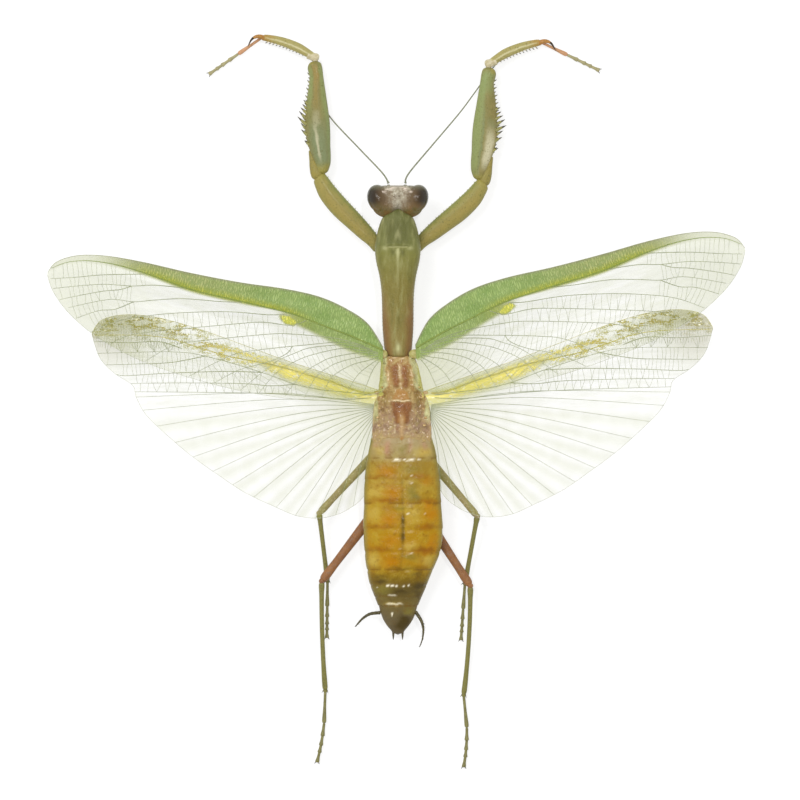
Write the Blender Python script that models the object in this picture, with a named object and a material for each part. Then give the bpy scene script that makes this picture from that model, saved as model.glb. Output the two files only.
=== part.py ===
"""A life-size praying mantis with its wings spread, lying on its belly as a set specimen.

+Y points to the head, +X to the animal's right and +Z up. The origin is on the floor, under the
middle of the whole spread animal. Sizes in the tables below are in millimetres.
"""

import math

import bmesh
import bpy
from mathutils import Matrix, Vector

MM = 0.001
ACROSS, AHEAD, UP = Vector((1, 0, 0)), Vector((0, 1, 0)), Vector((0, 0, 1))
GAP = 0.25  # the thin cut between neighbouring pieces

# Trunk: places along Y, from the front of the head to the end of the abdomen.
HEAD_MIDDLE = 31.4
PROTHORAX_FRONT = 30.2
PROTHORAX_BACK = 7.4
MESOTHORAX_BACK = 1.4
METATHORAX_BACK = -5.6
TERGITES_BACK = -31.4
ABDOMEN_BACK = -35.95
TERGITE_LENGTHS = [2.6, 3.4, 3.6, 4.05, 3.5, 2.8, 2.4, 1.9, 1.3]
SWAY = [  # (Y, how far the trunk's middle lies to the right)
    (-36.0, -0.1), (-28.0, 0.0), (-25.2, 0.3), (-23.0, 0.6), (-20.0, 0.7), (-13.0, 0.6), (-4.0, 0.5),
    (0.0, 0.45), (4.4, 0.25), (8.0, -0.05), (34.0, -0.12),
]

# Head
HEAD_LEVELS = [  # height, half width, half depth, how far forward of the head's middle
    (0.7, 0.75, 0.55, 0.9), (1.3, 1.15, 0.95, 0.85), (2.3, 1.5, 1.35, 0.7), (3.3, 2.2, 1.9, 0.4),
    (4.4, 3.1, 2.35, 0.1), (5.4, 3.65, 2.5, 0.0), (6.3, 3.7, 2.4, 0.05), (7.1, 3.2, 1.95, 0.25),
    (7.8, 2.0, 1.1, 0.5),
]
EYE_CENTRE = Vector((2.96, 31.9, 5.6))
EYE_HALF_SIZE = Vector((1.76, 2.0, 2.45))
NECK_CENTRE = Vector((0.0, 29.6, 4.55))
NECK_HALF_SIZE = Vector((1.5, 1.5, 1.5))

# Trunk sections as (Y, size). Widths are half widths; tops and floors are heights above the floor.
PROTHORAX_WIDTH = [
    (7.4, 2.3), (12.0, 2.38), (16.7, 2.48), (19.5, 2.78), (22.3, 3.38), (24.3, 3.52),
    (26.0, 3.25), (27.6, 2.85), (28.6, 2.4), (29.2, 1.85), (29.7, 1.15), (30.2, 0.4),
]
PROTHORAX_TOP = [(7.4, 7.5), (13.0, 7.05), (24.3, 7.35), (28.5, 6.8), (30.2, 6.4)]
PROTHORAX_FLOOR = [(7.4, 3.7), (13.0, 3.55), (24.3, 2.9), (27.6, 3.3), (29.0, 4.4), (30.2, 5.7)]
WING_THORAX_WIDTH = [
    (-5.6, 4.65), (-1.0, 4.4), (0.6, 4.0), (2.0, 3.55), (3.6, 3.25), (5.5, 3.0), (7.15, 2.5),
]
WING_THORAX_TOP = [(-5.6, 7.0), (-2.0, 7.75), (3.5, 8.0), (7.15, 7.6)]
WING_THORAX_FLOOR = [(-5.6, 3.75), (7.15, 3.75)]
ABDOMEN_WIDTH = [
    (-31.4, 3.1), (-28.2, 4.4), (-26.1, 5.05), (-23.4, 5.8), (-19.8, 6.2),
    (-15.3, 6.02), (-11.6, 5.85), (-8.5, 5.45), (-5.85, 4.85),
]
ABDOMEN_TOP = [(-31.4, 3.9), (-28.2, 4.9), (-23.0, 6.2), (-15.3, 7.0), (-10.0, 7.1), (-5.85, 6.8)]
ABDOMEN_FLOOR = [
    (-31.4, 0.5), (-28.8, -0.1), (-25.4, -0.15), (-22.4, 0.7),
    (-19.0, 1.5), (-15.5, 2.05), (-12.0, 2.5), (-5.85, 3.75),
]
TIP_WIDTH = [(-35.95, 0.75), (-35.45, 1.0), (-34.5, 1.78), (-33.4, 2.44), (-31.65, 3.02)]
TIP_TOP = [(-35.95, 2.2), (-33.2, 3.35), (-31.65, 3.8)]
TIP_FLOOR = [(-35.95, 1.3), (-33.2, 0.75), (-31.65, 0.5)]

# Wings: outlines about the hinge as (outward, forward), before the wing is turned to its spread.
WING_THICKNESS = 0.5
WING_RISE = 0.05  # how much a spread wing climbs for each millimetre outward
WING_CLEARANCE = 0.35  # the room between a hindwing's inner edge and the trunk
FOREWING_HINGE = {"right": Vector((2.75, 8.5)), "left": Vector((2.4, 8.2))}
FOREWING_LEVEL = 7.35
FOREWING_SPREAD = {"right": 16.8, "left": 12.9}  # degrees forward of straight out
FOREWING_BOW = {"right": 0.0, "left": 0.6}  # how far the middle of the wing bows back
FOREWING_LEADING = [
    (0.05, 0.5), (3.2, 3.65), (7.0, 5.3), (11.5, 6.3), (17.0, 6.4), (24.0, 5.9), (32.0, 5.6),
    (39.0, 5.5), (45.0, 5.0), (49.4, 3.9), (52.3, 2.1), (53.25, 0.2),
]
FOREWING_TRAILING = [
    (-0.6, -6.3), (4.5, -8.6), (11.0, -9.9), (20.0, -10.4), (29.0, -10.1), (37.0, -9.2),
    (43.5, -7.5), (48.5, -5.1), (51.7, -2.5), (53.2, -0.2),
]
HINDWING_HINGE = {"right": Vector((5.0, 1.6)), "left": Vector((4.4, 1.6))}
HINDWING_LEVEL = 6.2
HINDWING_DROOP = 0.11  # how much the fan sinks for each millimetre behind the hinge
HINDWING_SPREAD = {"right": 0.6, "left": -0.6}
HINDWING_LEADING = [
    (0.1, 0.6), (5.5, 2.6), (12.5, 4.9), (19.5, 7.5), (26.5, 10.1), (33.0, 12.0), (38.0, 12.55),
    (41.8, 11.8), (43.4, 9.8),
]
HINDWING_TRAILING = [
    (0.1, -2.0), (0.4, -8.5), (0.9, -15.0), (3.7, -17.8), (7.5, -19.2), (11.6, -19.0),
    (15.5, -17.4), (20.0, -15.2), (24.0, -12.5), (28.0, -9.6), (31.5, -6.6), (35.0, -3.2),
    (36.6, -0.4), (37.2, 1.6), (40.0, 3.5), (42.2, 5.9), (43.4, 9.5),
]

# Legs: each length belongs to both sides, and each heading is degrees outward from straight ahead.
FORE_COXA_BASE = Vector((3.0, 24.4, 1.95))
FORE_LENGTHS = {"coxa": 14.05, "trochanter": 1.2, "femur": 17.35, "tibia": 8.9, "tarsus": 10.5}
FORE_HEADINGS = {
    "right": {"coxa": 45.5, "trochanter": -2.0, "femur": 3.9, "tibia": 67.4, "tarsus": 115.8},
    "left": {"coxa": 39.3, "trochanter": 4.0, "femur": 2.6, "tibia": 68.9, "tarsus": 124.6},
}
FORE_HEIGHTS = {"coxa": 2.3, "trochanter": 2.2, "femur": 1.95, "tibia": 1.3, "tarsus": 0.3}
TARSUS_ROOT_DROP = 0.5  # how far below the middle of the tibia's end the fore tarsus starts
HOOK_LINE = [(0.0, 0.35, 0.0), (0.95, 0.5, 0.2), (1.5, 0.5, 0.95), (1.65, 0.35, 2.2)]  # along, up, in
HOOK_RADII = [0.42, 0.36, 0.3, 0.25]
FEMUR_SPINES = [  # share of the femur's length, how far each one stands out
    (0.22, 0.6), (0.31, 0.7), (0.40, 0.8), (0.49, 1.25), (0.58, 0.75), (0.67, 0.8), (0.77, 0.6),
]
TIBIA_SPINES = [(0.38, 0.45), (0.52, 0.5), (0.66, 0.55), (0.80, 0.6)]

MID_COXA_BASE = Vector((1.8, 3.4, 2.55))
MID_LENGTHS = {"coxa": 8.8, "femur": 16.2, "tibia": 11.0, "tarsus": 9.2}
MID_HEADINGS = {
    "right": {"coxa": 181.8, "femur": 139.7, "tibia": 190.2, "tarsus": 184.0},
    "left": {"coxa": 180.6, "femur": 137.2, "tibia": 186.8, "tarsus": 179.4},
}
MID_HEIGHTS = {"coxa": 0.95, "femur": 3.0, "tibia": 0.5, "tarsus": 0.3}

HIND_COXA_BASE = Vector((2.2, -5.0, 2.65))
HIND_LENGTHS = {"coxa": 8.4, "femur": 18.2, "tibia": 17.2, "tarsus": 11.6}
HIND_HEADINGS = {
    "right": {"coxa": 190.1, "femur": 147.0, "tibia": 183.4, "tarsus": 180.0},
    "left": {"coxa": 185.5, "femur": 142.6, "tibia": 181.8, "tarsus": 173.4},
}
HIND_HEIGHTS = {"coxa": 0.95, "femur": 2.25, "tibia": 0.5, "tarsus": 0.3}
STRAIGHT = {"tibia": 0.0, "tarsus": 0.0}
HIND_BOWS = {  # how far the middle of each lower segment curves outward
    "right": {"tibia": 0.5, "tarsus": 0.5},
    "left": {"tibia": 0.2, "tarsus": -0.4},
}

TARSUS_RADIUS = 0.33
TARSOMERES = [0.45, 0.63, 0.76, 0.86, 1.0]  # where each of the five ends, as a share of the tarsus

# Feelers, from their sockets on the face and beside the abdomen's tip.
ANTENNA_RADIUS = 0.25
ANTENNA_LINE = {
    "right": [(1.05, 34.15, 5.6), (1.6, 35.7, 5.2), (5.4, 40.3, 3.0), (9.5, 45.2, 1.0),
              (11.8, 48.3, 0.35), (14.5, 52.0, 0.3), (16.2, 53.8, 0.3)],
    "left": [(1.55, 34.15, 5.6), (2.55, 35.8, 5.1), (6.3, 39.8, 2.9), (10.45, 44.3, 0.95),
             (12.0, 47.2, 0.35), (12.9, 50.4, 0.3), (13.1, 52.4, 0.3)],
}
CERCUS_RADIUS = 0.36
CERCUS_LINE = {
    "right": [(2.95, -32.8, 2.3), (3.4, -33.5, 2.4), (3.75, -34.4, 2.4), (3.86, -35.4, 2.3),
              (3.69, -36.7, 2.1), (3.21, -38.0, 1.9)],
    "left": [(3.3, -32.6, 2.3), (4.4, -32.7, 2.4), (5.5, -33.35, 2.4), (6.3, -34.2, 2.2), (6.8, -34.75, 2.1)],
}
STYLUS_LENGTH = 0.75

COLOURS = {  # name: (red, green, blue, roughness), all linear, all with no metal
    "head_shell": (0.17, 0.13, 0.09, 0.45),
    "eye_shell": (0.045, 0.03, 0.02, 0.18),
    "green_shell": (0.20, 0.20, 0.065, 0.4),
    "leg_shell": (0.25, 0.25, 0.09, 0.45),
    "thorax_shell": (0.36, 0.20, 0.10, 0.4),
    "abdomen_shell": (0.42, 0.24, 0.04, 0.28),
    "tip_shell": (0.16, 0.14, 0.05, 0.35),
    "red_shell": (0.27, 0.11, 0.05, 0.4),
    "feeler_shell": (0.12, 0.12, 0.08, 0.5),
    "forewing_film": (0.55, 0.68, 0.40, 0.35),
    "hindwing_film": (0.70, 0.72, 0.50, 0.35),
}


def clear_scene():
    for obj in list(bpy.data.objects):
        bpy.data.objects.remove(obj)


def finish_material(name):
    material = bpy.data.materials.get(name) or bpy.data.materials.new(name)
    material.use_nodes = True
    shader = material.node_tree.nodes["Principled BSDF"]
    red, green, blue, roughness = COLOURS[name]
    shader.inputs["Base Color"].default_value = (red, green, blue, 1.0)
    shader.inputs["Roughness"].default_value = roughness
    shader.inputs["Metallic"].default_value = 0.0
    return material


def add_object(name, bm, finish):
    """Turns the bmesh, in millimetres, into an object in metres with its finish."""
    bmesh.ops.recalc_face_normals(bm, faces=bm.faces)
    bmesh.ops.scale(bm, vec=(MM, MM, MM), verts=bm.verts)
    mesh = bpy.data.meshes.new(name)
    bm.to_mesh(mesh)
    bm.free()
    mesh.shade_smooth()
    mesh.set_sharp_from_angle(angle=math.radians(40))
    obj = bpy.data.objects.new(name, mesh)
    bpy.context.scene.collection.objects.link(obj)
    if finish:
        mesh.materials.append(finish_material(finish))
    return obj


def side_sign(side):
    return 1 if side == "right" else -1


def beside(point, side):
    """The same place on one side of the trunk's middle."""
    return Vector((point[0] * side_sign(side) + profile(SWAY, point[1]), *point[1:]))


def profile(knots, place):
    """The smooth value at a place, through knots of (place, value) in rising order."""
    last = len(knots) - 1
    i = max(k for k in range(last) if knots[k][0] <= place or k == 0)
    (x1, v1), (x2, v2) = knots[i], knots[i + 1]

    def slope(k):
        low, high = knots[max(k - 1, 0)], knots[min(k + 1, last)]
        return (high[1] - low[1]) / (high[0] - low[0])

    width = x2 - x1
    t = min(max((place - x1) / width, 0.0), 1.0)
    return (
        (2 * t**3 - 3 * t**2 + 1) * v1
        + (t**3 - 2 * t**2 + t) * width * slope(i)
        + (3 * t**2 - 2 * t**3) * v2
        + (t**3 - t**2) * width * slope(i + 1)
    )


def smooth_line(points, count):
    """Evenly shared points on a smooth line through the given ones."""
    points = [Vector(p) for p in points]
    line = []
    for k in range(count):
        at = k / (count - 1) * (len(points) - 1)
        i = min(int(at), len(points) - 2)
        t = at - i
        before, start = points[max(i - 1, 0)], points[i]
        end, after = points[i + 1], points[min(i + 2, len(points) - 1)]
        line.append(
            0.5 * (
                2 * start
                + (end - before) * t
                + (2 * before - 5 * start + 4 * end - after) * t**2
                + (3 * start - before - 3 * end + after) * t**3
            )
        )
    return line


def oval(centre, right, up, half_width, half_height, sides, power=2.0):
    """A ring of points about a centre. A power over 2 makes it squarer."""
    ring = []
    for k in range(sides):
        angle = 2 * math.pi * (k + 0.5) / sides
        c, s = math.cos(angle), math.sin(angle)
        across = math.copysign(abs(c) ** (2 / power), c) * half_width
        height = math.copysign(abs(s) ** (2 / power), s) * half_height
        ring.append(centre + right * across + up * height)
    return ring


def loft(rings):
    """A closed mesh over a row of rings, flat at both ends."""
    bm = bmesh.new()
    rim = bmesh.ops.create_circle(bm, cap_ends=True, radius=1.0, segments=len(rings[0]))["verts"]
    for vert, place in zip(rim, rings[0]):
        vert.co = place
    for ring in rings[1:]:
        edges = [bm.edges.get(pair) for pair in zip(rim, rim[1:] + rim[:1])]
        grown = set(bmesh.ops.extrude_edge_only(bm, edges=edges)["geom"])
        rim = [next(e.other_vert(v) for e in v.link_edges if e.other_vert(v) in grown) for v in rim]
        for vert, place in zip(rim, ring):
            vert.co = place
    bmesh.ops.contextual_create(bm, geom=rim)
    return bm


def cut_flat_at_floor(bm):
    """Takes off what is below the floor, and closes the cut with a flat face."""
    whole = list(bm.verts) + list(bm.edges) + list(bm.faces)
    cut = bmesh.ops.bisect_plane(bm, geom=whole, plane_co=(0, 0, 0), plane_no=(0, 0, -1), clear_outer=True)
    edges = [g for g in cut["geom_cut"] if isinstance(g, bmesh.types.BMEdge)]
    bmesh.ops.contextual_create(bm, geom=edges)


def ellipsoid(name, centre, half_size, finish, segments=16, rings=10):
    bm = bmesh.new()
    bmesh.ops.create_uvsphere(bm, u_segments=segments, v_segments=rings, radius=1.0)
    bmesh.ops.scale(bm, vec=half_size, verts=bm.verts)
    bmesh.ops.translate(bm, vec=centre, verts=bm.verts)
    return add_object(name, bm, finish)


def hide_cutter(obj):
    obj.hide_render = True
    obj.display_type = "WIRE"


def combine(obj, other, operation):
    """Joins the other object to this one, or cuts it away, and keeps it only as a guide."""
    modifier = obj.modifiers.new(operation.title(), "BOOLEAN")
    modifier.operation = operation
    modifier.solver = "EXACT"
    modifier.object = other
    hide_cutter(other)


# Trunk


def trunk_ring(y, half_width, top, floor, sides, power=2.0, side_share=0.5):
    """An upright ring across the trunk, widest at side_share of its height."""
    waist = floor + (top - floor) * side_share
    middle = Vector((profile(SWAY, y), y, 0))
    ring = []
    for point in oval(middle, ACROSS, UP, half_width, 1.0, sides, power):
        point.z = waist + point.z * (top - waist if point.z > 0 else waist - floor)
        ring.append(point)
    return ring


def trunk_rings(places, width, top, floor, sides, power, side_share=0.5, room=0.0):
    """Rings at the given places. A room of more than 0 makes them that much larger all round."""
    rings = []
    for y in places:
        high, low = profile(top, y) + room, profile(floor, y) - room
        rings.append(trunk_ring(y, profile(width, y) + room, high, low, sides, power, side_share))
    return rings


def places_between(start, end, count):
    return [start + (end - start) * k / (count - 1) for k in range(count)]


def add_head():
    """The head capsule, a rounded triangle seen from the front, with hollows for eyes and neck."""
    middle = profile(SWAY, HEAD_MIDDLE)
    rings = [
        oval(Vector((middle, HEAD_MIDDLE + ahead, z)), ACROSS, AHEAD, wide, deep, 20, 2.3)
        for z, wide, deep, ahead in HEAD_LEVELS
    ]
    head = add_object("head", loft(rings), "head_shell")
    for side in ("right", "left"):
        centre = beside(EYE_CENTRE, side)
        ellipsoid(f"eye_{side}", centre, EYE_HALF_SIZE, "eye_shell")
        room = ellipsoid(f"eye_room_{side}", centre, EYE_HALF_SIZE + Vector((GAP, GAP, GAP)), None)
        combine(head, room, "DIFFERENCE")
    return head


def add_prothorax(head):
    """The long saddle behind the head, widest over the fore coxae, its point in a notch of the head."""
    places = [PROTHORAX_BACK, 9.5, 12.5, 15.5, 18.0, 20.0, 21.8, 23.4, 25.0, 26.6, 27.8, 28.6, 29.2, 29.7]
    places.append(PROTHORAX_FRONT)
    shape = (PROTHORAX_WIDTH, PROTHORAX_TOP, PROTHORAX_FLOOR, 18, 2.3, 0.45)
    prothorax = add_object("prothorax", loft(trunk_rings(places, *shape)), "green_shell")
    notch_places = places[places.index(25.0):-1] + [PROTHORAX_FRONT + GAP]
    notch = add_object("head_notch", loft(trunk_rings(notch_places, *shape, room=GAP)), None)
    combine(head, notch, "DIFFERENCE")
    return prothorax


def add_neck(head, prothorax):
    """The soft neck, a ball in matching hollows of the head and the prothorax."""
    ellipsoid("neck", NECK_CENTRE, NECK_HALF_SIZE, "head_shell", 14, 8)
    room = ellipsoid("neck_room", NECK_CENTRE, NECK_HALF_SIZE + Vector((GAP, GAP, GAP)), None, 14, 8)
    combine(head, room, "DIFFERENCE")
    combine(prothorax, room, "DIFFERENCE")


def add_wing_thorax():
    """The two rings that carry the wings, with square shoulders at the wing hinges."""
    spans = {
        "mesothorax": (PROTHORAX_BACK - GAP, MESOTHORAX_BACK + GAP / 2),
        "metathorax": (MESOTHORAX_BACK - GAP / 2, METATHORAX_BACK),
    }
    shape = (WING_THORAX_WIDTH, WING_THORAX_TOP, WING_THORAX_FLOOR, 20, 2.9, 0.55)
    for name, (front, back) in spans.items():
        rings = trunk_rings(places_between(front, back, 5), *shape)
        add_object(name, loft(rings), "thorax_shell")


def add_abdomen():
    """Nine tergites, each a little wider at its back edge than where it leaves the one before."""
    start = METATHORAX_BACK - GAP
    rings = []
    for length in TERGITE_LENGTHS:
        for share, swell in ((0.0, 0.965), (0.3, 1.0), (0.94, 1.0)):
            y = start - share * length
            top, floor = profile(ABDOMEN_TOP, y), profile(ABDOMEN_FLOOR, y)
            middle = (top + floor) / 2
            rings.append(
                trunk_ring(
                    y, profile(ABDOMEN_WIDTH, y) * swell, middle + (top - middle) * swell,
                    middle - (middle - floor) * swell, 20, 2.15,
                )
            )
        start -= length
    bm = loft(rings)
    cut_flat_at_floor(bm)
    add_object("abdomen", bm, "abdomen_shell")


def add_abdomen_tip():
    """The end plates, with two short styli."""
    places = places_between(TERGITES_BACK - GAP, ABDOMEN_BACK, 6)
    tip = add_object(
        "abdomen_tip", loft(trunk_rings(places, TIP_WIDTH, TIP_TOP, TIP_FLOOR, 14, 2.2)), "tip_shell"
    )
    for side in ("right", "left"):
        foot = beside((0.68, ABDOMEN_BACK + 0.25, 1.7), side)
        rings = [
            oval(foot - AHEAD * run, ACROSS, UP, radius, radius, 6)
            for run, radius in ((0.0, 0.25), (STYLUS_LENGTH + 0.25, 0.14))
        ]
        combine(tip, add_object(f"stylus_{side}", loft(rings), None), "UNION")


# Feelers


def tube(name, points, radii, sides, finish):
    """A tube along a line. Each ring stands square to the line, with its width level."""
    rings = []
    for k, (point, radius) in enumerate(zip(points, radii)):
        along = (points[min(k + 1, len(points) - 1)] - points[max(k - 1, 0)]).normalized()
        right = along.cross(UP).normalized()
        rings.append(oval(point, right, right.cross(along), radius, radius, sides))
    return add_object(name, loft(rings), finish)


def mirrored(points, side):
    return [Vector((x * side_sign(side), y, z)) for x, y, z in points]


def add_feelers(side):
    line = smooth_line(mirrored(ANTENNA_LINE[side], side), 16)
    tube(f"antenna_{side}", line, [ANTENNA_RADIUS] * len(line), 6, "feeler_shell")
    line = smooth_line(mirrored(CERCUS_LINE[side], side), 9)
    radii = [CERCUS_RADIUS * (1 - 0.3 * k / (len(line) - 1)) for k in range(len(line))]
    tube(f"cercus_{side}", line, radii, 8, "tip_shell")


# Wings


def wing(name, hinge, spread, bow, leading, trailing, level, droop, side, finish, rows=22, columns=4):
    """A thin plate between its leading and trailing edges, turned about its hinge."""
    turn = Matrix.Rotation(math.radians(spread), 2)
    root = beside(hinge, side)
    length = leading[-1][0]
    inner = ABDOMEN_WIDTH[:-1] + WING_THORAX_WIDTH[:3]
    front = smooth_line([(*p, 0) for p in leading], rows)
    back = smooth_line([(*p, 0) for p in trailing], rows)
    rings = []
    for ahead, behind in zip(front, back):
        row = []
        for k in range(columns + 1):
            place = ahead.lerp(behind, k / columns).xy
            out = place.x / length
            flat = turn @ (place - Vector((0, bow * 4 * out * (1 - out))))
            height = level + WING_RISE * (hinge.x + flat.x) - droop * max(-flat.y, 0.0)
            row.append(Vector((root.x + flat.x * side_sign(side), root.y + flat.y, height)))
            if row[-1].y < inner[-1][0]:  # beside the metathorax and the abdomen
                closest = beside((profile(inner, row[-1].y) + WING_CLEARANCE, row[-1].y), side).x
                row[-1].x = side_sign(side) * max(row[-1].x * side_sign(side), closest * side_sign(side))
        half = Vector((0, 0, WING_THICKNESS / 2))
        rings.append([p + half for p in row] + [p - half for p in reversed(row)])
    return add_object(name, loft(rings), finish)


def add_wings(side):
    wing(
        f"forewing_{side}", FOREWING_HINGE[side], FOREWING_SPREAD[side], FOREWING_BOW[side],
        FOREWING_LEADING, FOREWING_TRAILING, FOREWING_LEVEL, 0.0, side, "forewing_film",
    )
    wing(
        f"hindwing_{side}", HINDWING_HINGE[side], HINDWING_SPREAD[side], 0.0,
        HINDWING_LEADING, HINDWING_TRAILING, HINDWING_LEVEL, HINDWING_DROOP, side, "hindwing_film", rows=28,
    )


# Legs


def leg_joints(base, lengths, headings, heights, side):
    """The joints of a leg, from its base to its toe, as its segments' lengths, headings and heights say."""
    place = beside(base, side)
    joints = {"base": place}
    for segment, length in lengths.items():
        heading = math.radians(headings[segment])
        drop = heights[segment] - place.z
        run = math.sqrt(max(length**2 - drop**2, 0.0))
        step = Vector((math.sin(heading) * side_sign(side) * run, math.cos(heading) * run, drop))
        place = place + step
        joints[segment] = place
    return joints


def segment_rings(start, end, before, after, shares, sides, power=2.0):
    """Rings from one joint to the next. Its ends are cut on the slant that halves each bend.

    shares lists (share of the length, half width, half height, shift to the ring's right).
    before and after are the directions of the neighbouring segments, or None at a free end.
    """
    along = (end - start).normalized()
    length = (end - start).length
    right = along.cross(UP).normalized()
    up = right.cross(along)
    rings = []
    for share, half_width, half_height, shift in shares:
        run = GAP / 2 + share * (length - GAP)
        ring = oval(start + along * run + right * shift, right, up, half_width, half_height, sides, power)
        neighbour = before if share == 0.0 else after if share == 1.0 else None
        if neighbour is not None:
            slant = (along + neighbour).normalized()
            middle = start + along * run
            ring = [p - along * ((p - middle).dot(slant) / along.dot(slant)) for p in ring]
        rings.append(ring)
    return rings


def directions(joints):
    """Each segment's direction, in order."""
    names = list(joints)
    return {b: (joints[b] - joints[a]).normalized() for a, b in zip(names, names[1:])}


def add_segment(name, joints, segment, shares, sides, finish, power=2.0, floor_cut=False):
    names, ways = list(joints), directions(joints)
    i = names.index(segment)
    before = ways.get(names[i - 1])
    after = ways.get(names[i + 1]) if i + 1 < len(names) else None
    bm = loft(segment_rings(joints[names[i - 1]], joints[segment], before, after, shares, sides, power))
    if floor_cut:
        cut_flat_at_floor(bm)
    return add_object(name, bm, finish)


def tarsus_shares():
    """Five tarsomeres, each swelling to its end."""
    shares, start = [], 0.0
    for end in TARSOMERES:
        thin = TARSUS_RADIUS * 0.8
        shares.append((start, thin, thin, 0.0))
        shares.append((end - 0.015 if end < 1.0 else 1.0, TARSUS_RADIUS, TARSUS_RADIUS, 0.0))
        start = end + 0.015
    return shares


def bowed(shares, bow):
    """The same rings, with the middle of the segment shifted outward by bow and its ends left alone."""
    return [(t, wide, high, shift - bow * 4 * t * (1 - t)) for t, wide, high, shift in shares]


def add_tarsus(name, joints, finish, bow=0.0):
    return add_segment(name, joints, "tarsus", bowed(tarsus_shares(), bow), 6, finish, floor_cut=True)


def add_walking_leg(pair, side, joints, femur_finish, bows):
    """A mid or hind leg: coxa, femur with its trochanter, tibia and tarsus."""
    out = side_sign(side)
    coxa = [(0.0, 0.8, 0.8, 0.0), (0.25, 0.9, 0.85, 0.0), (0.8, 0.62, 0.6, 0.0), (1.0, 0.5, 0.5, 0.0)]
    femur = [
        (0.0, 0.5, 0.5, 0.0), (0.06, 0.58, 0.52, 0.0), (0.1, 0.5, 0.48, 0.0), (0.3, 0.64, 0.6, 0.0),
        (0.8, 0.5, 0.5, 0.0), (0.95, 0.58, 0.55, 0.0), (1.0, 0.5, 0.5, 0.0),
    ]
    tibia = [
        (0.0, 0.45, 0.45, 0.0), (0.05, 0.48, 0.45, 0.0), (0.15, 0.38, 0.38, 0.0), (0.35, 0.37, 0.37, 0.0),
        (0.6, 0.37, 0.37, 0.0), (0.9, 0.37, 0.37, 0.0), (1.0, 0.42, 0.4, 0.0),
    ]
    add_segment(f"{pair}_coxa_{side}", joints, "coxa", coxa, 10, "leg_shell")
    add_segment(f"{pair}_femur_{side}", joints, "femur", femur, 8, femur_finish)
    add_segment(f"{pair}_tibia_{side}", joints, "tibia", bowed(tibia, bows["tibia"] * out), 8, "leg_shell")
    add_tarsus(f"{pair}_tarsus_{side}", joints, "leg_shell", bows["tarsus"] * out)


def spines(name, joints, segment, shares, out, places):
    """A row of thorns along the outer edge of a segment, leaning towards its far end."""
    names = list(joints)
    start, end = joints[names[names.index(segment) - 1]], joints[segment]
    along = (end - start).normalized()
    outward = along.cross(UP).normalized() * out
    edge = [(share, half_width + shift * out) for share, half_width, _, shift in shares]
    bm = bmesh.new()
    for share, reach in places:
        foot = start.lerp(end, share) + outward * (profile(edge, share) - 0.35)
        way = (outward + along * 0.45).normalized()
        length = reach + 0.35
        turn = way.to_track_quat("Z", "Y").to_matrix().to_4x4()
        place = Matrix.Translation(foot + way * length / 2) @ turn
        bmesh.ops.create_cone(
            bm, cap_ends=True, segments=5, radius1=0.27, radius2=0.09, depth=length, matrix=place
        )
    return add_object(name, bm, None)


def add_hook(name, joints, side):
    """The strong curved claw at the end of the fore tibia, bent towards the femur."""
    along = directions(joints)["tibia"]
    inward = along.cross(UP).normalized() * side_sign(side)
    root = joints["tibia"] - along * 0.5
    line = [root + along * ahead + Vector((0, 0, up)) + inward * bend for ahead, up, bend in HOOK_LINE]
    return tube(name, line, HOOK_RADII, 8, None)


def add_fore_leg(side):
    """The raptorial leg: a long coxa, a deep femur with thorns, a curved tibia and a thin tarsus."""
    joints = leg_joints(FORE_COXA_BASE, FORE_LENGTHS, FORE_HEADINGS[side], FORE_HEIGHTS, side)
    out = side_sign(side)
    coxa = [(0.0, 0.9, 0.5, 0.0), (0.08, 1.0, 0.6, 0.0), (0.22, 1.25, 0.95, 0.15 * out),
            (0.4, 1.4, 1.05, 0.4 * out), (0.63, 1.5, 1.1, 0.7 * out), (0.83, 1.4, 1.05, 0.65 * out),
            (0.95, 1.25, 0.98, 0.3 * out), (1.0, 1.15, 0.9, 0.12 * out)]
    trochanter = [(0.0, 1.15, 0.88, 0.1 * out), (0.5, 1.25, 0.88, 0.15 * out), (1.0, 1.22, 0.84, 0.05 * out)]
    femur = [
        (0.0, 1.22, 0.84, 0.0), (0.06, 1.45, 0.95, -0.08 * out), (0.2, 1.62, 1.05, 0.0),
        (0.32, 1.95, 1.05, 0.1 * out), (0.46, 1.95, 1.05, 0.12 * out), (0.67, 1.55, 0.95, 0.05 * out),
        (0.85, 1.12, 0.85, -0.05 * out), (0.94, 1.15, 0.8, 0.1 * out), (1.0, 0.8, 0.7, 0.05 * out),
    ]
    tibia = [(0.0, 0.6, 0.6, 0.0), (0.12, 0.68, 0.6, -0.2 * out), (0.35, 0.78, 0.6, -0.5 * out),
             (0.65, 0.72, 0.55, -0.5 * out), (0.9, 0.6, 0.5, -0.2 * out), (1.0, 0.5, 0.45, 0.0)]
    add_segment(f"fore_coxa_{side}", joints, "coxa", coxa, 12, "leg_shell")
    add_segment(f"fore_trochanter_{side}", joints, "trochanter", trochanter, 10, "leg_shell")
    thigh = add_segment(f"fore_femur_{side}", joints, "femur", femur, 12, "leg_shell", power=2.3)
    shin = add_segment(f"fore_tibia_{side}", joints, "tibia", tibia, 10, "leg_shell")
    combine(shin, add_hook(f"hook_{side}", joints, side), "UNION")
    tarsus_joints = {**joints, "tibia": joints["tibia"] - UP * TARSUS_ROOT_DROP}
    add_tarsus(f"fore_tarsus_{side}", tarsus_joints, "leg_shell")
    combine(thigh, spines(f"femur_thorns_{side}", joints, "femur", femur, out, FEMUR_SPINES), "UNION")
    combine(shin, spines(f"tibia_thorns_{side}", joints, "tibia", tibia, out, TIBIA_SPINES), "UNION")


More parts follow.
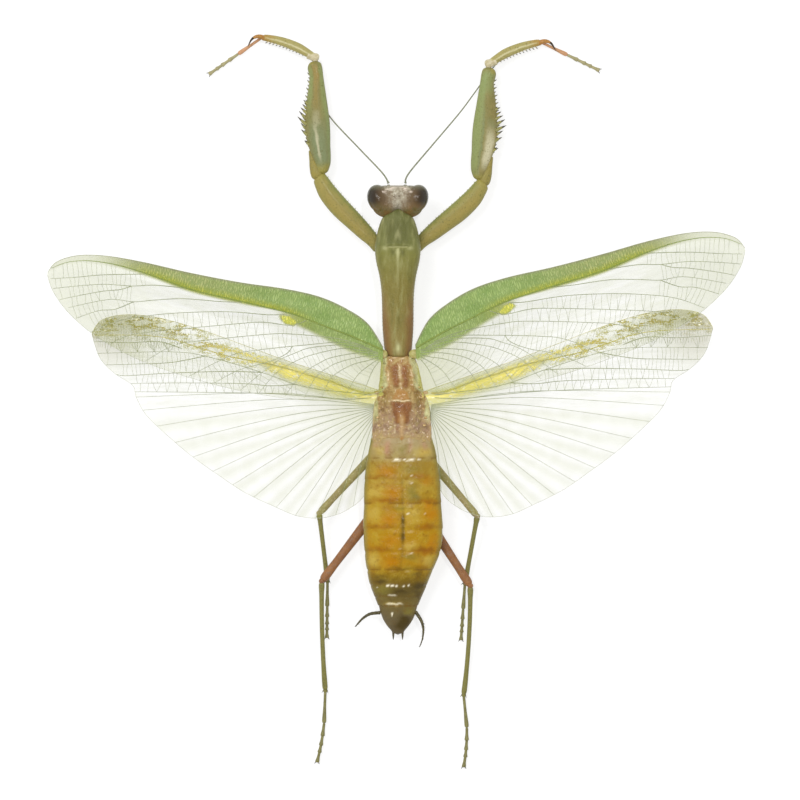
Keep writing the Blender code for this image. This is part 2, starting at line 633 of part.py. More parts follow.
def add_legs(side):
    add_fore_leg(side)
    joints = leg_joints(MID_COXA_BASE, MID_LENGTHS, MID_HEADINGS[side], MID_HEIGHTS, side)
    add_walking_leg("mid", side, joints, "leg_shell", STRAIGHT)
    joints = leg_joints(HIND_COXA_BASE, HIND_LENGTHS, HIND_HEADINGS[side], HIND_HEIGHTS, side)
    add_walking_leg("hind", side, joints, "red_shell", HIND_BOWS[side])


def main():
    clear_scene()
    head = add_head()
    prothorax = add_prothorax(head)
    add_neck(head, prothorax)
    add_wing_thorax()
    add_abdomen()
    add_abdomen_tip()
    for side in ("right", "left"):
        add_feelers(side)
        add_wings(side)
        add_legs(side)


main()
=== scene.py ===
"""A dried praying mantis, set with its wings spread, lying on a white sheet.

Shapes are worked out in millimetres, in the model's own frame: +Y points to the head, +X to the
animal's right and +Z up. finish_piece turns each one into metres.
"""

import math
import random

import bpy
from mathutils import Matrix, Vector, noise


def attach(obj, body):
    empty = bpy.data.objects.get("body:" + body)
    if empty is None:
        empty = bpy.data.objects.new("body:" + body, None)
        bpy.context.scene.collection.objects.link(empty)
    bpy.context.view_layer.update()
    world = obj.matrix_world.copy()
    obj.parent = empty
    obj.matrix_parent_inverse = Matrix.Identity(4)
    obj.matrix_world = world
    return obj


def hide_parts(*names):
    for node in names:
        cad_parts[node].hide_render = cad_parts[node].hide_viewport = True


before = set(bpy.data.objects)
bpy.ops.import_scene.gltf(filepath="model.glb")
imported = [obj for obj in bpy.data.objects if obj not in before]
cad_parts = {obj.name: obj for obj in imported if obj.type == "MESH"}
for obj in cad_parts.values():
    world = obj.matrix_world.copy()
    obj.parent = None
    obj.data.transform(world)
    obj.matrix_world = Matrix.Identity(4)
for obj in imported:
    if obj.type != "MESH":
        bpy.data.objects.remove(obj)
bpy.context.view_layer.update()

MM = 0.001
UP = Vector((0, 0, 1))
SIDES = ("right", "left")

# The trunk, as knots of (Y, size). Widths are half widths, and tops and floors are heights. The sway is
# how far the trunk's middle lies to the right.
SWAY = [
    (-36.0, -0.1), (-28.0, 0.0), (-25.2, 0.3), (-23.0, 0.6), (-20.0, 0.7), (-13.0, 0.6), (-4.0, 0.5),
    (0.0, 0.45), (4.4, 0.25), (8.0, -0.05), (34.0, -0.12),
]
HEAD_MIDDLE = 31.4
HEAD_LEVELS = [  # height, half width, half depth, how far forward of the head's middle
    (0.7, 0.75, 0.55, 0.9), (1.3, 1.15, 0.95, 0.85), (2.3, 1.5, 1.35, 0.7), (3.3, 2.3, 1.95, 0.4),
    (4.4, 3.3, 2.4, 0.0), (5.4, 3.95, 2.65, -0.1), (6.3, 3.95, 2.6, -0.1), (7.1, 3.3, 2.15, 0.15),
    (7.8, 2.0, 1.2, 0.5),
]
# The mouth feelers of one side, as lines of (outward, Y, Z).
PALPS = [
    [(0.85, 31.9, 1.5), (1.5, 31.8, 1.1), (1.75, 32.5, 0.8), (1.55, 33.2, 0.75), (1.3, 33.7, 0.65)],
    [(0.4, 31.5, 1.2), (0.75, 31.3, 0.75), (0.9, 31.9, 0.5), (0.8, 32.4, 0.45)],
]
OCELLI = [(-0.15, 32.75, 7.45), (-0.6, 32.05, 7.6), (0.2, 32.1, 7.65)]
EYE_CENTRE = Vector((2.95, 31.75, 5.6))
EYE_HALF_SIZE = Vector((1.75, 2.22, 2.4))
EYE_TURN = 20.0
FACET_GAP = 0.12  # coarser than life, so that the facets survive the export
NECK_BACK = 28.2
NECK_MIDDLE = 29.6
NECK_LENGTH = 2.85
NECK_HEIGHT = 4.55
PRONOTUM_FRONT = 30.3
PRONOTUM_BACK = 7.0
GROOVE = 24.25  # the shield's cross groove, with a pale bar in the middle just behind it
PALE_BAR = 23.4
PRONOTUM_WIDTH = [
    (7.0, 1.4), (7.5, 1.8), (8.3, 2.08), (9.6, 2.22), (12.0, 2.38), (16.7, 2.48), (19.5, 2.78),
    (22.3, 3.38), (24.3, 3.52), (26.0, 3.25), (27.6, 2.85), (28.8, 2.35), (29.3, 1.75), (29.8, 0.9),
    (30.3, 0.25),
]
PRONOTUM_TOP = [(7.2, 7.5), (13.0, 7.05), (24.3, 7.35), (28.5, 6.8), (30.2, 6.4)]
PRONOTUM_FLOOR = [(7.2, 3.7), (13.0, 3.55), (24.3, 2.9), (27.6, 3.3), (29.0, 4.4), (30.2, 5.7)]
THORAX_FRONT = 7.6
THORAX_BACK = -6.4
THORAX_WIDTH = [
    (-5.6, 4.65), (-1.0, 4.4), (0.6, 4.0), (2.0, 3.5), (3.6, 3.25), (5.5, 2.95), (7.15, 2.6),
]
THORAX_TOP = [(-5.6, 7.0), (-2.0, 7.75), (3.5, 8.0), (7.15, 7.6)]
THORAX_FLOOR = [(-5.6, 3.75), (7.15, 3.75)]
THORAX_KNOBS = [  # the small hard pieces round the wings' hinges: place beside the middle, and size
    (2.3, 7.2, 7.1, 0.2), (2.15, 4.4, 7.15, 0.18), (2.2, 3.2, 7.1, 0.2),
    (2.9, 2.5, 6.7, 0.26), (3.8, 1.7, 6.35, 0.42), (3.1, 0.9, 6.5, 0.28), (3.4, -0.8, 6.4, 0.24),
    (3.7, -2.2, 6.2, 0.26), (3.5, -3.4, 6.25, 0.28),
]
ABDOMEN_WIDTH = [
    (-35.95, 0.75), (-35.45, 0.95), (-34.5, 1.75), (-33.4, 2.42), (-31.6, 3.03), (-28.2, 4.4),
    (-26.1, 5.05), (-23.4, 5.8), (-19.8, 6.2), (-15.3, 6.02), (-11.6, 5.85), (-8.5, 5.45), (-5.3, 4.75),
]
ABDOMEN_TOP = [
    (-35.95, 2.2), (-33.2, 3.35), (-31.4, 3.9), (-28.2, 4.9), (-23.0, 6.2), (-15.3, 7.0), (-10.0, 7.1),
    (-5.3, 6.8),
]
ABDOMEN_FLOOR = [
    (-35.95, 1.3), (-33.2, 0.75), (-31.4, 0.5), (-28.8, -0.1), (-25.4, -0.15), (-22.4, 0.7),
    (-19.0, 1.5), (-15.5, 2.05), (-12.0, 2.5), (-5.3, 3.75),
]
TERGITE_LENGTHS = [2.6, 3.4, 3.6, 4.05, 3.5, 2.8, 2.4, 1.9, 1.3, 4.55]
ABDOMEN_FRONT = -5.85
ABDOMEN_BACK = -35.95
ABDOMEN_TUCK = 0.5  # how far the first ring reaches under the thorax
# Soft patches on top of the abdomen, as (X, Y, half width, half length, strength).
ABDOMEN_STAINS = {
    "amber": [
        (-1.8, -10.6, 1.7, 1.1, 0.8), (-1.0, -13.9, 1.4, 1.2, 0.85), (-1.4, -18.1, 1.5, 1.1, 0.9),
        (-1.2, -21.4, 1.5, 1.0, 0.8), (-1.2, -24.6, 1.4, 0.9, 0.9), (5.0, -17.2, 1.1, 1.2, 0.9),
        (5.2, -21.6, 0.9, 1.2, 0.9), (4.4, -11.9, 1.0, 0.7, 0.6), (4.8, -15.6, 1.0, 0.6, 0.7),
    ],
    "rust": [
        (-1.8, -15.0, 2.2, 0.35, 0.8), (4.4, -15.1, 1.3, 0.35, 0.8), (-2.7, -19.1, 2.0, 0.4, 0.7),
        (4.4, -19.1, 1.5, 0.4, 0.8), (-2.9, -22.5, 1.6, 0.45, 0.7), (4.0, -22.8, 1.9, 0.5, 0.95),
        (-1.9, -12.7, 1.6, 0.3, 0.5), (-1.7, -16.2, 0.8, 0.8, 0.4), (2.9, -11.3, 1.8, 0.35, 0.6),
        (-3.5, -11.3, 1.5, 0.3, 0.6),
    ],
    "blush": [
        (-1.7, -7.0, 0.5, 1.2, 0.8), (1.7, -6.6, 0.5, 1.1, 0.5), (4.0, -6.4, 0.6, 0.9, 0.5),
        (-3.4, -6.3, 0.6, 0.5, 0.4),
    ],
    "olive": [
        (0.8, -7.2, 0.8, 0.9, 0.6), (2.1, -13.7, 1.0, 1.2, 0.8), (2.7, -14.8, 0.9, 0.5, 0.8),
        (1.7, -23.7, 1.3, 0.6, 0.7), (1.9, -10.2, 1.4, 0.8, 0.5), (-2.5, -29.0, 1.3, 0.6, 0.8),
        (1.7, -32.2, 0.9, 0.6, 0.8), (0.2, -16.2, 1.2, 0.35, 0.6),
    ],
    "dusk": [
        (0.6, -25.5, 2.0, 0.3, 0.45), (2.9, -26.5, 0.9, 0.45, 0.5), (-2.9, -26.8, 1.0, 0.3, 0.4),
        (1.1, -34.2, 0.7, 0.9, 0.6), (-2.7, -27.6, 1.2, 0.35, 0.8), (3.3, -28.2, 1.3, 0.55, 0.9),
        (0.2, -29.3, 1.3, 0.6, 0.9), (2.9, -29.7, 0.8, 0.8, 0.7), (0.65, -33.6, 0.8, 0.9, 0.9),
        (0.2, -34.6, 0.9, 0.6, 0.7), (0.6, -20.6, 0.3, 0.7, 1.0), (0.6, -18.3, 0.22, 0.7, 0.8),
    ],
    # straw-coloured stains, and at Y -31.1 a thin pale yellow bar that is a painted glint
    "straw_and_glint": [
        (-3.7, -13.7, 1.2, 1.1, 0.8), (2.3, -17.2, 1.2, 1.1, 0.7), (-3.9, -17.2, 1.0, 1.1, 0.6),
        (1.7, -22.2, 1.2, 0.7, 0.7), (-3.9, -24.3, 1.0, 1.0, 0.9), (4.4, -24.3, 1.0, 0.8, 0.8),
        (-1.0, -31.1, 1.0, 0.25, 0.8), (3.9, -7.6, 1.2, 0.6, 0.9), (-3.0, -7.3, 0.9, 0.9, 0.6),
    ],
}

# Wings: outlines about the hinge as (outward, forward), before the wing is turned to its spread.
WING_RISE = 0.05
WING_FIT = 0.998
WING_TUCK = 0.3  # how far the hindwing's inner edge lies over the trunk's flank
FILM_THICKNESS = 0.06
STRONG_VEIN = 0.15  # the radii of the veins at their roots
MAIN_VEIN = 0.065
FAN_VEIN = 0.05
CROSS_VEIN = 0.026
TRAILING_EDGE = 0.025
CELL_WIDTH = 0.26  # of the tiny cells in the forewing's green field
WINGS = {
    "fore": {
        "hinge": {"right": (2.75, 8.5), "left": (2.4, 8.2)},
        "rim": 0.065,
        "level": 7.35,
        "droop": 0.0,
        "spread": {"right": 16.8, "left": 12.9},
        "bow": {"right": 0.0, "left": 0.6},
        "leading": [
            (0.05, 0.5), (3.2, 3.65), (7.0, 5.3), (11.5, 6.3), (17.0, 6.4), (24.0, 5.9), (32.0, 5.6),
            (39.0, 5.5), (45.0, 5.0), (49.4, 3.9), (52.3, 2.1), (53.25, 0.2),
        ],
        "trailing": [
            (-1.35, -6.3), (4.5, -8.6), (11.0, -9.9), (20.0, -10.4), (29.0, -10.1), (37.0, -9.2),
            (43.5, -7.5), (48.5, -5.1), (51.7, -2.5), (53.2, -0.2),
        ],
    },
    "hind": {
        "hinge": {"right": (5.0, 1.6), "left": (4.4, 1.6)},
        "rim": 0.045,
        "level": 6.2,
        "droop": 0.11,
        "spread": {"right": 0.6, "left": -0.6},
        "bow": {"right": 0.0, "left": 0.0},
        "leading": [
            (-1.7, 0.2), (5.5, 2.6), (12.5, 4.9), (19.5, 7.5), (26.5, 10.1), (33.0, 12.0), (38.0, 12.55),
            (41.8, 11.8), (43.4, 9.8),
        ],
        "trailing": [
            (-1.7, -1.6), (-1.4, -8.5), (0.9, -15.0), (3.7, -17.8), (7.5, -19.2), (11.6, -19.0),
            (15.5, -17.4), (20.0, -15.2), (24.0, -12.5), (28.0, -9.6), (31.5, -6.6), (35.0, -3.2),
            (36.6, -0.4), (37.2, 1.6), (40.0, 3.5), (42.2, 5.9), (43.4, 9.5),
        ],
    },
}
FOREWING_RADIUS_VEIN = [
    (0.0, 0.1), (3.0, 0.8), (6.0, 1.45), (10.0, 2.1), (15.0, 2.9), (22.0, 3.1), (31.0, 3.15),
    (37.0, 3.8), (42.5, 4.1), (47.0, 3.7), (50.5, 2.6), (52.8, 1.0),
]
FOREWING_VEINS = [  # from the costal field back to the trailing corner
    FOREWING_RADIUS_VEIN,
    [(38.5, 3.8), (43.3, 2.5), (45.9, 1.7), (49.2, 0.5), (52.6, -0.6)],
    [(32.3, 3.1), (36.6, 2.5), (40.1, 1.5), (44.3, 0.7), (48.8, -0.8), (51.9, -2.0)],
    [(40.1, 1.5), (41.8, 0.5), (44.3, -0.4), (48.4, -2.3), (50.5, -3.4)],
    [(23.0, 3.0), (26.0, 2.4), (31.9, 1.5), (36.3, 0.2), (39.3, -0.8), (43.1, -1.4), (48.9, -4.2)],
    [(39.3, -0.8), (41.8, -2.6), (44.3, -3.5), (47.4, -5.5)],
    [(15.7, 2.7), (18.4, 2.0), (24.7, 1.1), (32.1, -0.8), (37.8, -2.8), (41.2, -4.4), (44.6, -6.9)],
    [(12.6, 2.3), (14.8, 1.1), (19.0, 0.7), (23.2, -0.5), (30.5, -2.9), (38.0, -5.6), (41.4, -8.0)],
    [(3.0, 0.2), (7.8, 0.5), (14.4, -0.2), (18.0, -1.0), (26.3, -3.7), (31.6, -5.8), (35.5, -9.3)],
    [(2.0, -0.1), (6.3, 0.1), (11.8, -1.4), (18.6, -3.6), (22.7, -5.4), (28.4, -10.0)],
    [(13.8, -2.0), (14.4, -3.3), (16.8, -5.1), (21.0, -7.3), (24.4, -10.2)],
    [(1.5, -0.3), (5.7, -0.2), (10.8, -1.6), (13.2, -3.0), (16.0, -5.2), (20.0, -10.2)],
    [(0.6, -0.4), (3.7, -0.6), (6.4, -0.9), (10.5, -2.7), (12.8, -4.2), (15.2, -6.4), (17.2, -10.1)],
    [(0.6, -0.6), (3.4, -1.0), (7.2, -2.4), (9.1, -3.7), (11.4, -6.0), (13.2, -9.8)],
    [(0.5, -0.8), (3.4, -1.7), (5.8, -2.8), (7.5, -4.0), (9.2, -6.0), (10.2, -9.5)],
    [(0.4, -1.1), (1.8, -1.9), (3.9, -2.9), (5.8, -4.4), (7.0, -6.0), (7.6, -9.0)],
    [(0.3, -1.4), (1.5, -2.6), (3.0, -4.6), (4.2, -8.2)],
    [(0.2, -1.8), (0.9, -3.6), (1.4, -7.0)],
]
GREEN_EDGE = [(0.0, -1.6), (4.7, -0.9), (7.6, -0.2), (11.6, 0.9), (14.5, 1.6), (17.0, 2.6)]
STIGMA_CENTRE = (15.3, 1.8)
HINDWING_RADIUS_VEIN = [
    (-0.3, 0.0), (1.3, 0.1), (3.6, 0.8), (6.3, 1.8), (9.9, 2.9), (15.3, 4.5), (22.1, 5.9), (27.0, 7.4),
    (31.0, 8.7), (35.0, 9.3), (39.0, 9.4), (42.9, 9.4),
]
HINDWING_VEINS = [
    HINDWING_RADIUS_VEIN,
    [(29.5, 7.2), (33.0, 8.3), (38.1, 8.2), (43.2, 8.5)],
    [(0.2, -0.3), (4.3, 0.2), (7.9, 0.6), (12.0, 1.5), (17.2, 3.4), (24.7, 5.7), (30.5, 6.7), (42.6, 6.6)],
    [(26.0, 6.0), (31.0, 5.1), (36.0, 4.9), (41.3, 4.8)],
    [(17.2, 3.4), (23.1, 3.6), (32.0, 3.4), (38.1, 3.1), (39.6, 3.3)],
    [(12.0, 1.5), (15.9, 1.3), (20.3, 1.7), (30.0, 1.9), (37.4, 1.9)],
    [(0.2, -0.7), (4.0, -0.9), (9.0, -0.5), (16.0, 0.1), (26.0, 0.4), (36.9, 0.6)],
]
APEX_VEINS = [  # fine long veins between the main ones near the hindwing's tip
    [(27.0, 8.6), (32.0, 10.8), (37.0, 11.4), (42.0, 11.0)],
    [(28.0, 7.9), (33.0, 9.4), (38.0, 9.9), (42.9, 9.7)],
    [(29.5, 7.2), (33.0, 8.3), (38.1, 8.2), (43.2, 8.5)],
    [(30.5, 6.9), (34.0, 7.3), (38.0, 7.3), (43.0, 7.6)],
]
FAN_HEAD = (-0.3, -1.8)  # where the first and the last vein of the hindwing's fan begin
FAN_FOOT = (-0.6, -3.4)
FAN_VEINS = 14
FAN_SHARES = (0.755, 0.13)  # the stretch of the trailing edge that the fan's veins reach

# Legs: lengths and heights belong to both sides, and each side has its segments' bearings, in degrees
# outward from straight ahead.
LEGS = {
    "fore": {
        "base": (3.75, 25.2, 2.2),
        "lengths": {"coxa": 12.95, "trochanter": 1.2, "femur": 17.35, "tibia": 8.9, "tarsus": 10.5},
        "right": (45.5, -2.0, 3.9, 67.4, 115.8),
        "left": (39.3, 4.0, 2.6, 68.9, 124.6),
        "heights": (2.3, 2.2, 1.95, 1.3, 0.3),
    },
    "mid": {
        "base": (1.8, 3.4, 2.55),
        "lengths": {"coxa": 8.8, "femur": 16.2, "tibia": 11.0, "tarsus": 9.2},
        "right": (181.8, 139.7, 190.2, 184.0),
        "left": (180.6, 137.2, 186.8, 179.4),
        "heights": (0.95, 3.0, 0.5, 0.3),
    },
    "hind": {
        "base": (2.2, -5.0, 2.65),
        "lengths": {"coxa": 8.4, "femur": 18.2, "tibia": 17.2, "tarsus": 11.6},
        "right": (190.1, 147.0, 183.4, 180.0),
        "left": (185.5, 142.6, 181.8, 173.4),
        "heights": (0.95, 2.25, 0.5, 0.3),
    },
}
BOWS = {("hind", "right"): (0.28, 0.5), ("hind", "left"): (0.2, -0.4)}  # of the tibia and the tarsus
TARSUS_ROOT_DROP = 0.5  # how far under the end of the fore tibia its foot begins
TARSOMERES = [0.45, 0.63, 0.76, 0.86, 1.0]  # where each of the foot's five joints ends
TARSOMERE = [(0.0, 0.22, 0.2, 0.0), (0.5, 0.24, 0.21, 0.0), (0.9, 0.34, 0.27, 0.0), (1.0, 0.27, 0.22, 0.0)]
CLAW_REACH = 0.45  # how far short of a foot's end its last joint stops, to leave room for the claws
# The tibia's hook, as (ahead, up, outward) from the end of the tibia.
HOOK_LINE = [(-0.5, 0.0, 0.0), (0.3, 0.35, 0.02), (0.95, 0.45, 0.3), (1.4, 0.45, 0.95), (1.55, 0.3, 2.1)]
# The segments' shapes, as (share of the length, half width, half height, shift outward).
WALKING_COXA = [
    (0.0, 0.72, 0.72, 0.0), (0.25, 0.85, 0.8, 0.0), (0.8, 0.58, 0.56, 0.0), (1.0, 0.48, 0.48, 0.0),
]
WALKING_FEMUR = [
    (0.0, 0.46, 0.44, 0.0), (0.05, 0.56, 0.52, 0.0), (0.09, 0.46, 0.44, 0.0), (0.14, 0.6, 0.56, 0.0),
    (0.35, 0.63, 0.6, 0.0), (0.8, 0.5, 0.47, 0.0), (0.94, 0.54, 0.5, 0.0), (1.0, 0.44, 0.42, 0.0),
]
FEMUR_STOUTNESS = {"mid": 1.06, "hind": 1.28}
WALKING_TIBIA = [
    (0.0, 0.38, 0.36, 0.0), (0.04, 0.46, 0.4, 0.0), (0.12, 0.38, 0.34, 0.0), (0.4, 0.35, 0.31, 0.0),
    (0.75, 0.36, 0.32, 0.0), (0.95, 0.42, 0.36, 0.0), (1.0, 0.36, 0.34, 0.0),
]
FORE_COXA = [
    (0.0, 1.0, 0.6, 0.0), (0.11, 1.05, 0.8, 0.0), (0.22, 1.25, 0.98, 0.15), (0.38, 1.42, 1.02, 0.38),
    (0.6, 1.55, 1.05, 0.72), (0.8, 1.46, 1.0, 0.74), (0.92, 1.25, 0.9, 0.46), (1.0, 1.0, 0.8, 0.2),
]
FORE_TROCHANTER = [
    (0.0, 0.7, 0.6, 0.0), (0.2, 0.95, 0.8, 0.0), (0.45, 0.82, 0.74, 0.0), (0.7, 0.5, 0.55, 0.0),
    (1.0, 0.15, 0.2, 0.0),
]
FORE_FEMUR = [
    (0.0, 0.75, 0.6, -0.15), (0.04, 1.05, 0.78, -0.25), (0.09, 1.28, 0.88, -0.33), (0.16, 1.48, 0.96, -0.25),
    (0.25, 1.7, 1.0, -0.03), (0.35, 1.9, 1.02, 0.1), (0.48, 1.9, 1.02, 0.12), (0.68, 1.5, 0.92, 0.05),
    (0.86, 1.08, 0.82, -0.05), (0.94, 1.14, 0.76, 0.12), (1.0, 0.82, 0.66, 0.05),
]
FORE_KNEE = [(0.0, 0.5, 0.5, 0.0), (0.25, 0.72, 0.62, 0.0), (0.6, 0.62, 0.58, 0.0), (1.0, 0.66, 0.6, 0.0)]
FORE_TIBIA = [
    (0.0, 0.5, 0.5, 0.0), (0.12, 0.62, 0.56, -0.2), (0.35, 0.74, 0.56, -0.5), (0.65, 0.68, 0.52, -0.5),
    (0.9, 0.56, 0.47, -0.2), (1.0, 0.46, 0.42, 0.0),
]
# The thorns under the fore femur, as (share of the length, reach, radius).
GREAT_THORNS = [
    (0.27, 0.9, 0.24), (0.36, 1.15, 0.27), (0.45, 1.75, 0.32), (0.55, 1.2, 0.27), (0.63, 0.85, 0.22),
]
INNER_THORNS = [(0.41, 1.25, 0.26), (0.5, 1.6, 0.3), (0.585, 1.0, 0.24)]
# Soft patches on the fore legs, as (share across, share along, half width, half length, strength). The
# share across is 1 at the outer edge.
FEMUR_MARKS = {
    "left": {
        "flush": [(0.0, 0.84, 0.42, 0.1, 0.8), (0.1, 0.66, 0.25, 0.1, 0.5)],
        "moss": [(0.0, 0.27, 0.85, 0.22, 0.9)],
        "edge": [(-0.95, 0.3, 0.25, 0.25, 0.9), (0.8, 0.75, 0.35, 0.2, 0.8), (-0.8, 0.75, 0.4, 0.25, 0.8)],
        "streak": [(0.15, 0.32, 0.13, 0.13, 0.75), (0.1, 0.5, 0.3, 0.05, 0.3)],
        "ends": [(0.2, 0.0, 2.0, 0.13, 0.9), (0.8, 0.97, 0.5, 0.03, 0.9)],
    },
    "right": {
        "flush": [(0.9, 0.4, 0.15, 0.2, 0.3)],
        "moss": [(0.5, 0.2, 0.1, 0.014, 1.0), (0.6, 0.51, 0.5, 0.035, 0.35), (-0.18, 0.35, 0.09, 0.25, 0.6)],
        "edge": [(-0.75, 0.45, 0.6, 0.45, 0.9), (0.0, 0.84, 0.9, 0.13, 0.75)],
        "streak": [(0.5, 0.31, 0.4, 0.15, 0.95)],
        "ends": [(0.0, 0.0, 2.0, 0.06, 0.7), (0.8, 0.95, 0.5, 0.05, 0.7)],
    },
}
COXA_MARKS = {
    "flush": [(0.3, 0.5, 0.5, 0.4, 0.6)],
    "edge": [(-1.0, 0.5, 0.3, 0.6, 0.9)],
    "streak": [(-0.15, 0.5, 0.2, 0.35, 0.15)],
    "ends": [(-0.4, 0.96, 0.7, 0.06, 0.7)],
}
TIBIA_MARKS = {
    "edge": [(0.0, 1.0, 3.0, 0.25, 0.9)],
    "streak": [(0.1, 0.5, 0.18, 0.42, 0.8), (0.0, 0.0, 3.0, 0.12, 0.9)],
}
# The middle lines of the feelers, with X counted outward.
ANTENNA_LINE = {
    "right": [(1.05, 34.15, 5.6), (1.6, 35.7, 5.2), (5.4, 40.3, 3.0), (9.5, 45.2, 1.0),
              (11.8, 48.3, 0.35), (14.5, 52.0, 0.3), (16.2, 53.8, 0.3)],
    "left": [(1.55, 34.15, 5.6), (2.55, 35.8, 5.1), (6.3, 39.8, 2.9), (10.45, 44.3, 0.95),
             (12.0, 47.2, 0.35), (12.9, 50.4, 0.3), (13.1, 52.4, 0.3)],
}
CERCUS_LINE = {
    "right": [(2.6, -32.3, 2.1), (3.4, -33.5, 2.4), (3.75, -34.4, 2.4), (3.86, -35.4, 2.3),
              (3.69, -36.7, 2.1), (3.25, -37.9, 1.9)],
    "left": [(2.8, -32.5, 2.1), (4.4, -32.7, 2.4), (5.5, -33.35, 2.4), (6.3, -34.2, 2.2), (6.75, -34.7, 2.1)],
}


# Curves and places


def profile(knots, place):
    """The smooth value at a place, through knots of (place, value) in rising order."""
    last = len(knots) - 1
    i = max(k for k in range(last) if knots[k][0] <= place or k == 0)
    (x1, v1), (x2, v2) = knots[i], knots[i + 1]

    def slope(k):
        low, high = knots[max(k - 1, 0)], knots[min(k + 1, last)]
        return (high[1] - low[1]) / (high[0] - low[0])

    width = x2 - x1
    t = min(max((place - x1) / width, 0.0), 1.0)
    return (
        (2 * t**3 - 3 * t**2 + 1) * v1
        + (t**3 - 2 * t**2 + t) * width * slope(i)
        + (3 * t**2 - 2 * t**3) * v2
        + (t**3 - t**2) * width * slope(i + 1)
    )


def column(rows, k):
    """The knots of one column of a table whose first column is the place."""
    return [(row[0], row[k]) for row in rows]


def on_line(points, share):
    """The point at a share of a smooth line through the given ones."""
    at = min(max(share, 0.0), 1.0) * (len(points) - 1)
    i = min(int(at), len(points) - 2)
    t = at - i
    before, start = Vector(points[max(i - 1, 0)]), Vector(points[i])
    end, after = Vector(points[i + 1]), Vector(points[min(i + 2, len(points) - 1)])
    return 0.5 * (
        2 * start
        + (end - before) * t
        + (2 * before - 5 * start + 4 * end - after) * t**2
        + (3 * start - before - 3 * end + after) * t**3
    )


def smooth_line(points, count):
    return [on_line(points, k / (count - 1)) for k in range(count)]


def spaced(points, gap):
    """Points a steady gap apart along a smooth line."""
    fine = smooth_line(points, 12 * len(points))
    picked, run = [fine[0]], 0.0
    for a, b in zip(fine, fine[1:]):
        run += (b - a).length
        if run >= gap:
            picked.append(b)
            run = 0.0
    return picked


def step(low, high, value):
    """0 below low, 1 above high and smooth between."""
    t = min(max((value - low) / (high - low), 0.0), 1.0)
    return t * t * (3 - 2 * t)


def hump(value, width):
    return math.exp(-((value / width) ** 2))


def grain(place, size, seed=0.0):
    """Smooth noise from -1 to 1, with lumps of about the given size."""
    return noise.noise(Vector(place) / size + Vector((seed, 0, 0)))


def stained(x, y, patches, sharp=1):
    """How strongly soft patches cover a place. Each lists its centre, its half sizes and its strength."""
    shares = [
        strength * hump(abs((x - across) / wide) ** sharp, 1.0) * hump(abs((y - along) / long) ** sharp, 1.0)
        for across, along, wide, long, strength in patches
    ]
    return min(sum(shares), 1.0)


def between(value, start, full, wane, end):
    """Rises from 0 to 1 between start and full, and falls back between wane and end."""
    return step(start, full, value) * step(end, wane, value)


def side_sign(side):
    return 1 if side == "right" else -1


def beside(point, side):
    """The same place on one side of the trunk's middle."""
    return Vector((point[0] * side_sign(side) + profile(SWAY, point[1]), *point[1:]))


def aside(point):
    """How far to the right of the trunk's middle a point lies."""
    return point.x - profile(SWAY, point.y)


def sideward(u):
    """How far a point round a section faces right: u is 0 underneath, a quarter on the right."""
    return math.sin(2 * math.pi * u)


def upward(u):
    """How far a point round a section faces up: -1 underneath and 1 on top."""
    return -math.cos(2 * math.pi * u)


def on_top(u, full=0.5):
    """0 on a section's underside, and 1 where it faces up by the given share or more."""
    return step(0.0, full, upward(u))


def boxed(value, power):
    """Draws a round section's side or height out towards a box, the more so the greater the power."""
    return math.copysign(abs(value) ** (2 / power), value)


def heading(start, end):
    """The way from one place to another, and the way to its right."""
    axis = (end - start).normalized()
    return axis, axis.cross(UP).normalized()


def above_ground(lines):
    """The same strands, raised where they would dip into the ground."""
    return [[(Vector((p.x, p.y, max(p.z, radius))), radius) for p, radius in line] for line in lines]


# Building and finishing pieces


def deselect():
    bpy.ops.object.select_all(action="DESELECT")


def shaped_grid(name, across, along, place, marks=None):
    """A grid laid over place(u, v). marks holds functions of (u, v, the point) kept as attributes."""
    deselect()
    bpy.ops.mesh.primitive_grid_add(x_subdivisions=across, y_subdivisions=along, size=2.0)
    obj = bpy.context.object
    obj.name = obj.data.name = name
    values = {mark: [] for mark in marks or {}}
    for vert in obj.data.vertices:
        u, v = (vert.co.x + 1) / 2, (vert.co.y + 1) / 2
        vert.co = place(u, v)
        for mark, work_out in (marks or {}).items():
            values[mark].append(work_out(u, v, vert.co))
    for mark, numbers in values.items():
        obj.data.attributes.new(mark, "FLOAT", "POINT").data.foreach_set("value", numbers)
    return obj


def barrel(name, around, along, place, marks=None):
    """A grid rolled up, with its seam welded and its ends closed."""
    obj = shaped_grid(name, around, along, place, marks)
    bpy.ops.object.mode_set(mode="EDIT")
    bpy.ops.mesh.select_all(action="SELECT")
    bpy.ops.mesh.remove_doubles(threshold=0.0005)
    bpy.ops.mesh.fill_holes(sides=0)
    bpy.ops.mesh.normals_make_consistent(inside=False)
    bpy.ops.object.mode_set(mode="OBJECT")
    return obj


def strands(name, lines, roundness=1):
    """Round strands in one mesh. Each line is a list of (place, radius)."""
    curve = bpy.data.curves.new(name, "CURVE")
    curve.dimensions = "3D"
    curve.bevel_depth = 1.0
    curve.bevel_resolution = roundness
    curve.use_fill_caps = True
    for line in lines:
        spline = curve.splines.new("POLY")
        spline.points.add(len(line) - 1)
        for point, (place, radius) in zip(spline.points, line):
            point.co = (*place, 1.0)
            point.radius = radius
    obj = bpy.data.objects.new(name, curve)
    bpy.context.scene.collection.objects.link(obj)
    deselect()
    obj.select_set(True)
    bpy.context.view_layer.objects.active = obj
    bpy.ops.object.convert(target="MESH")
    return bpy.context.object


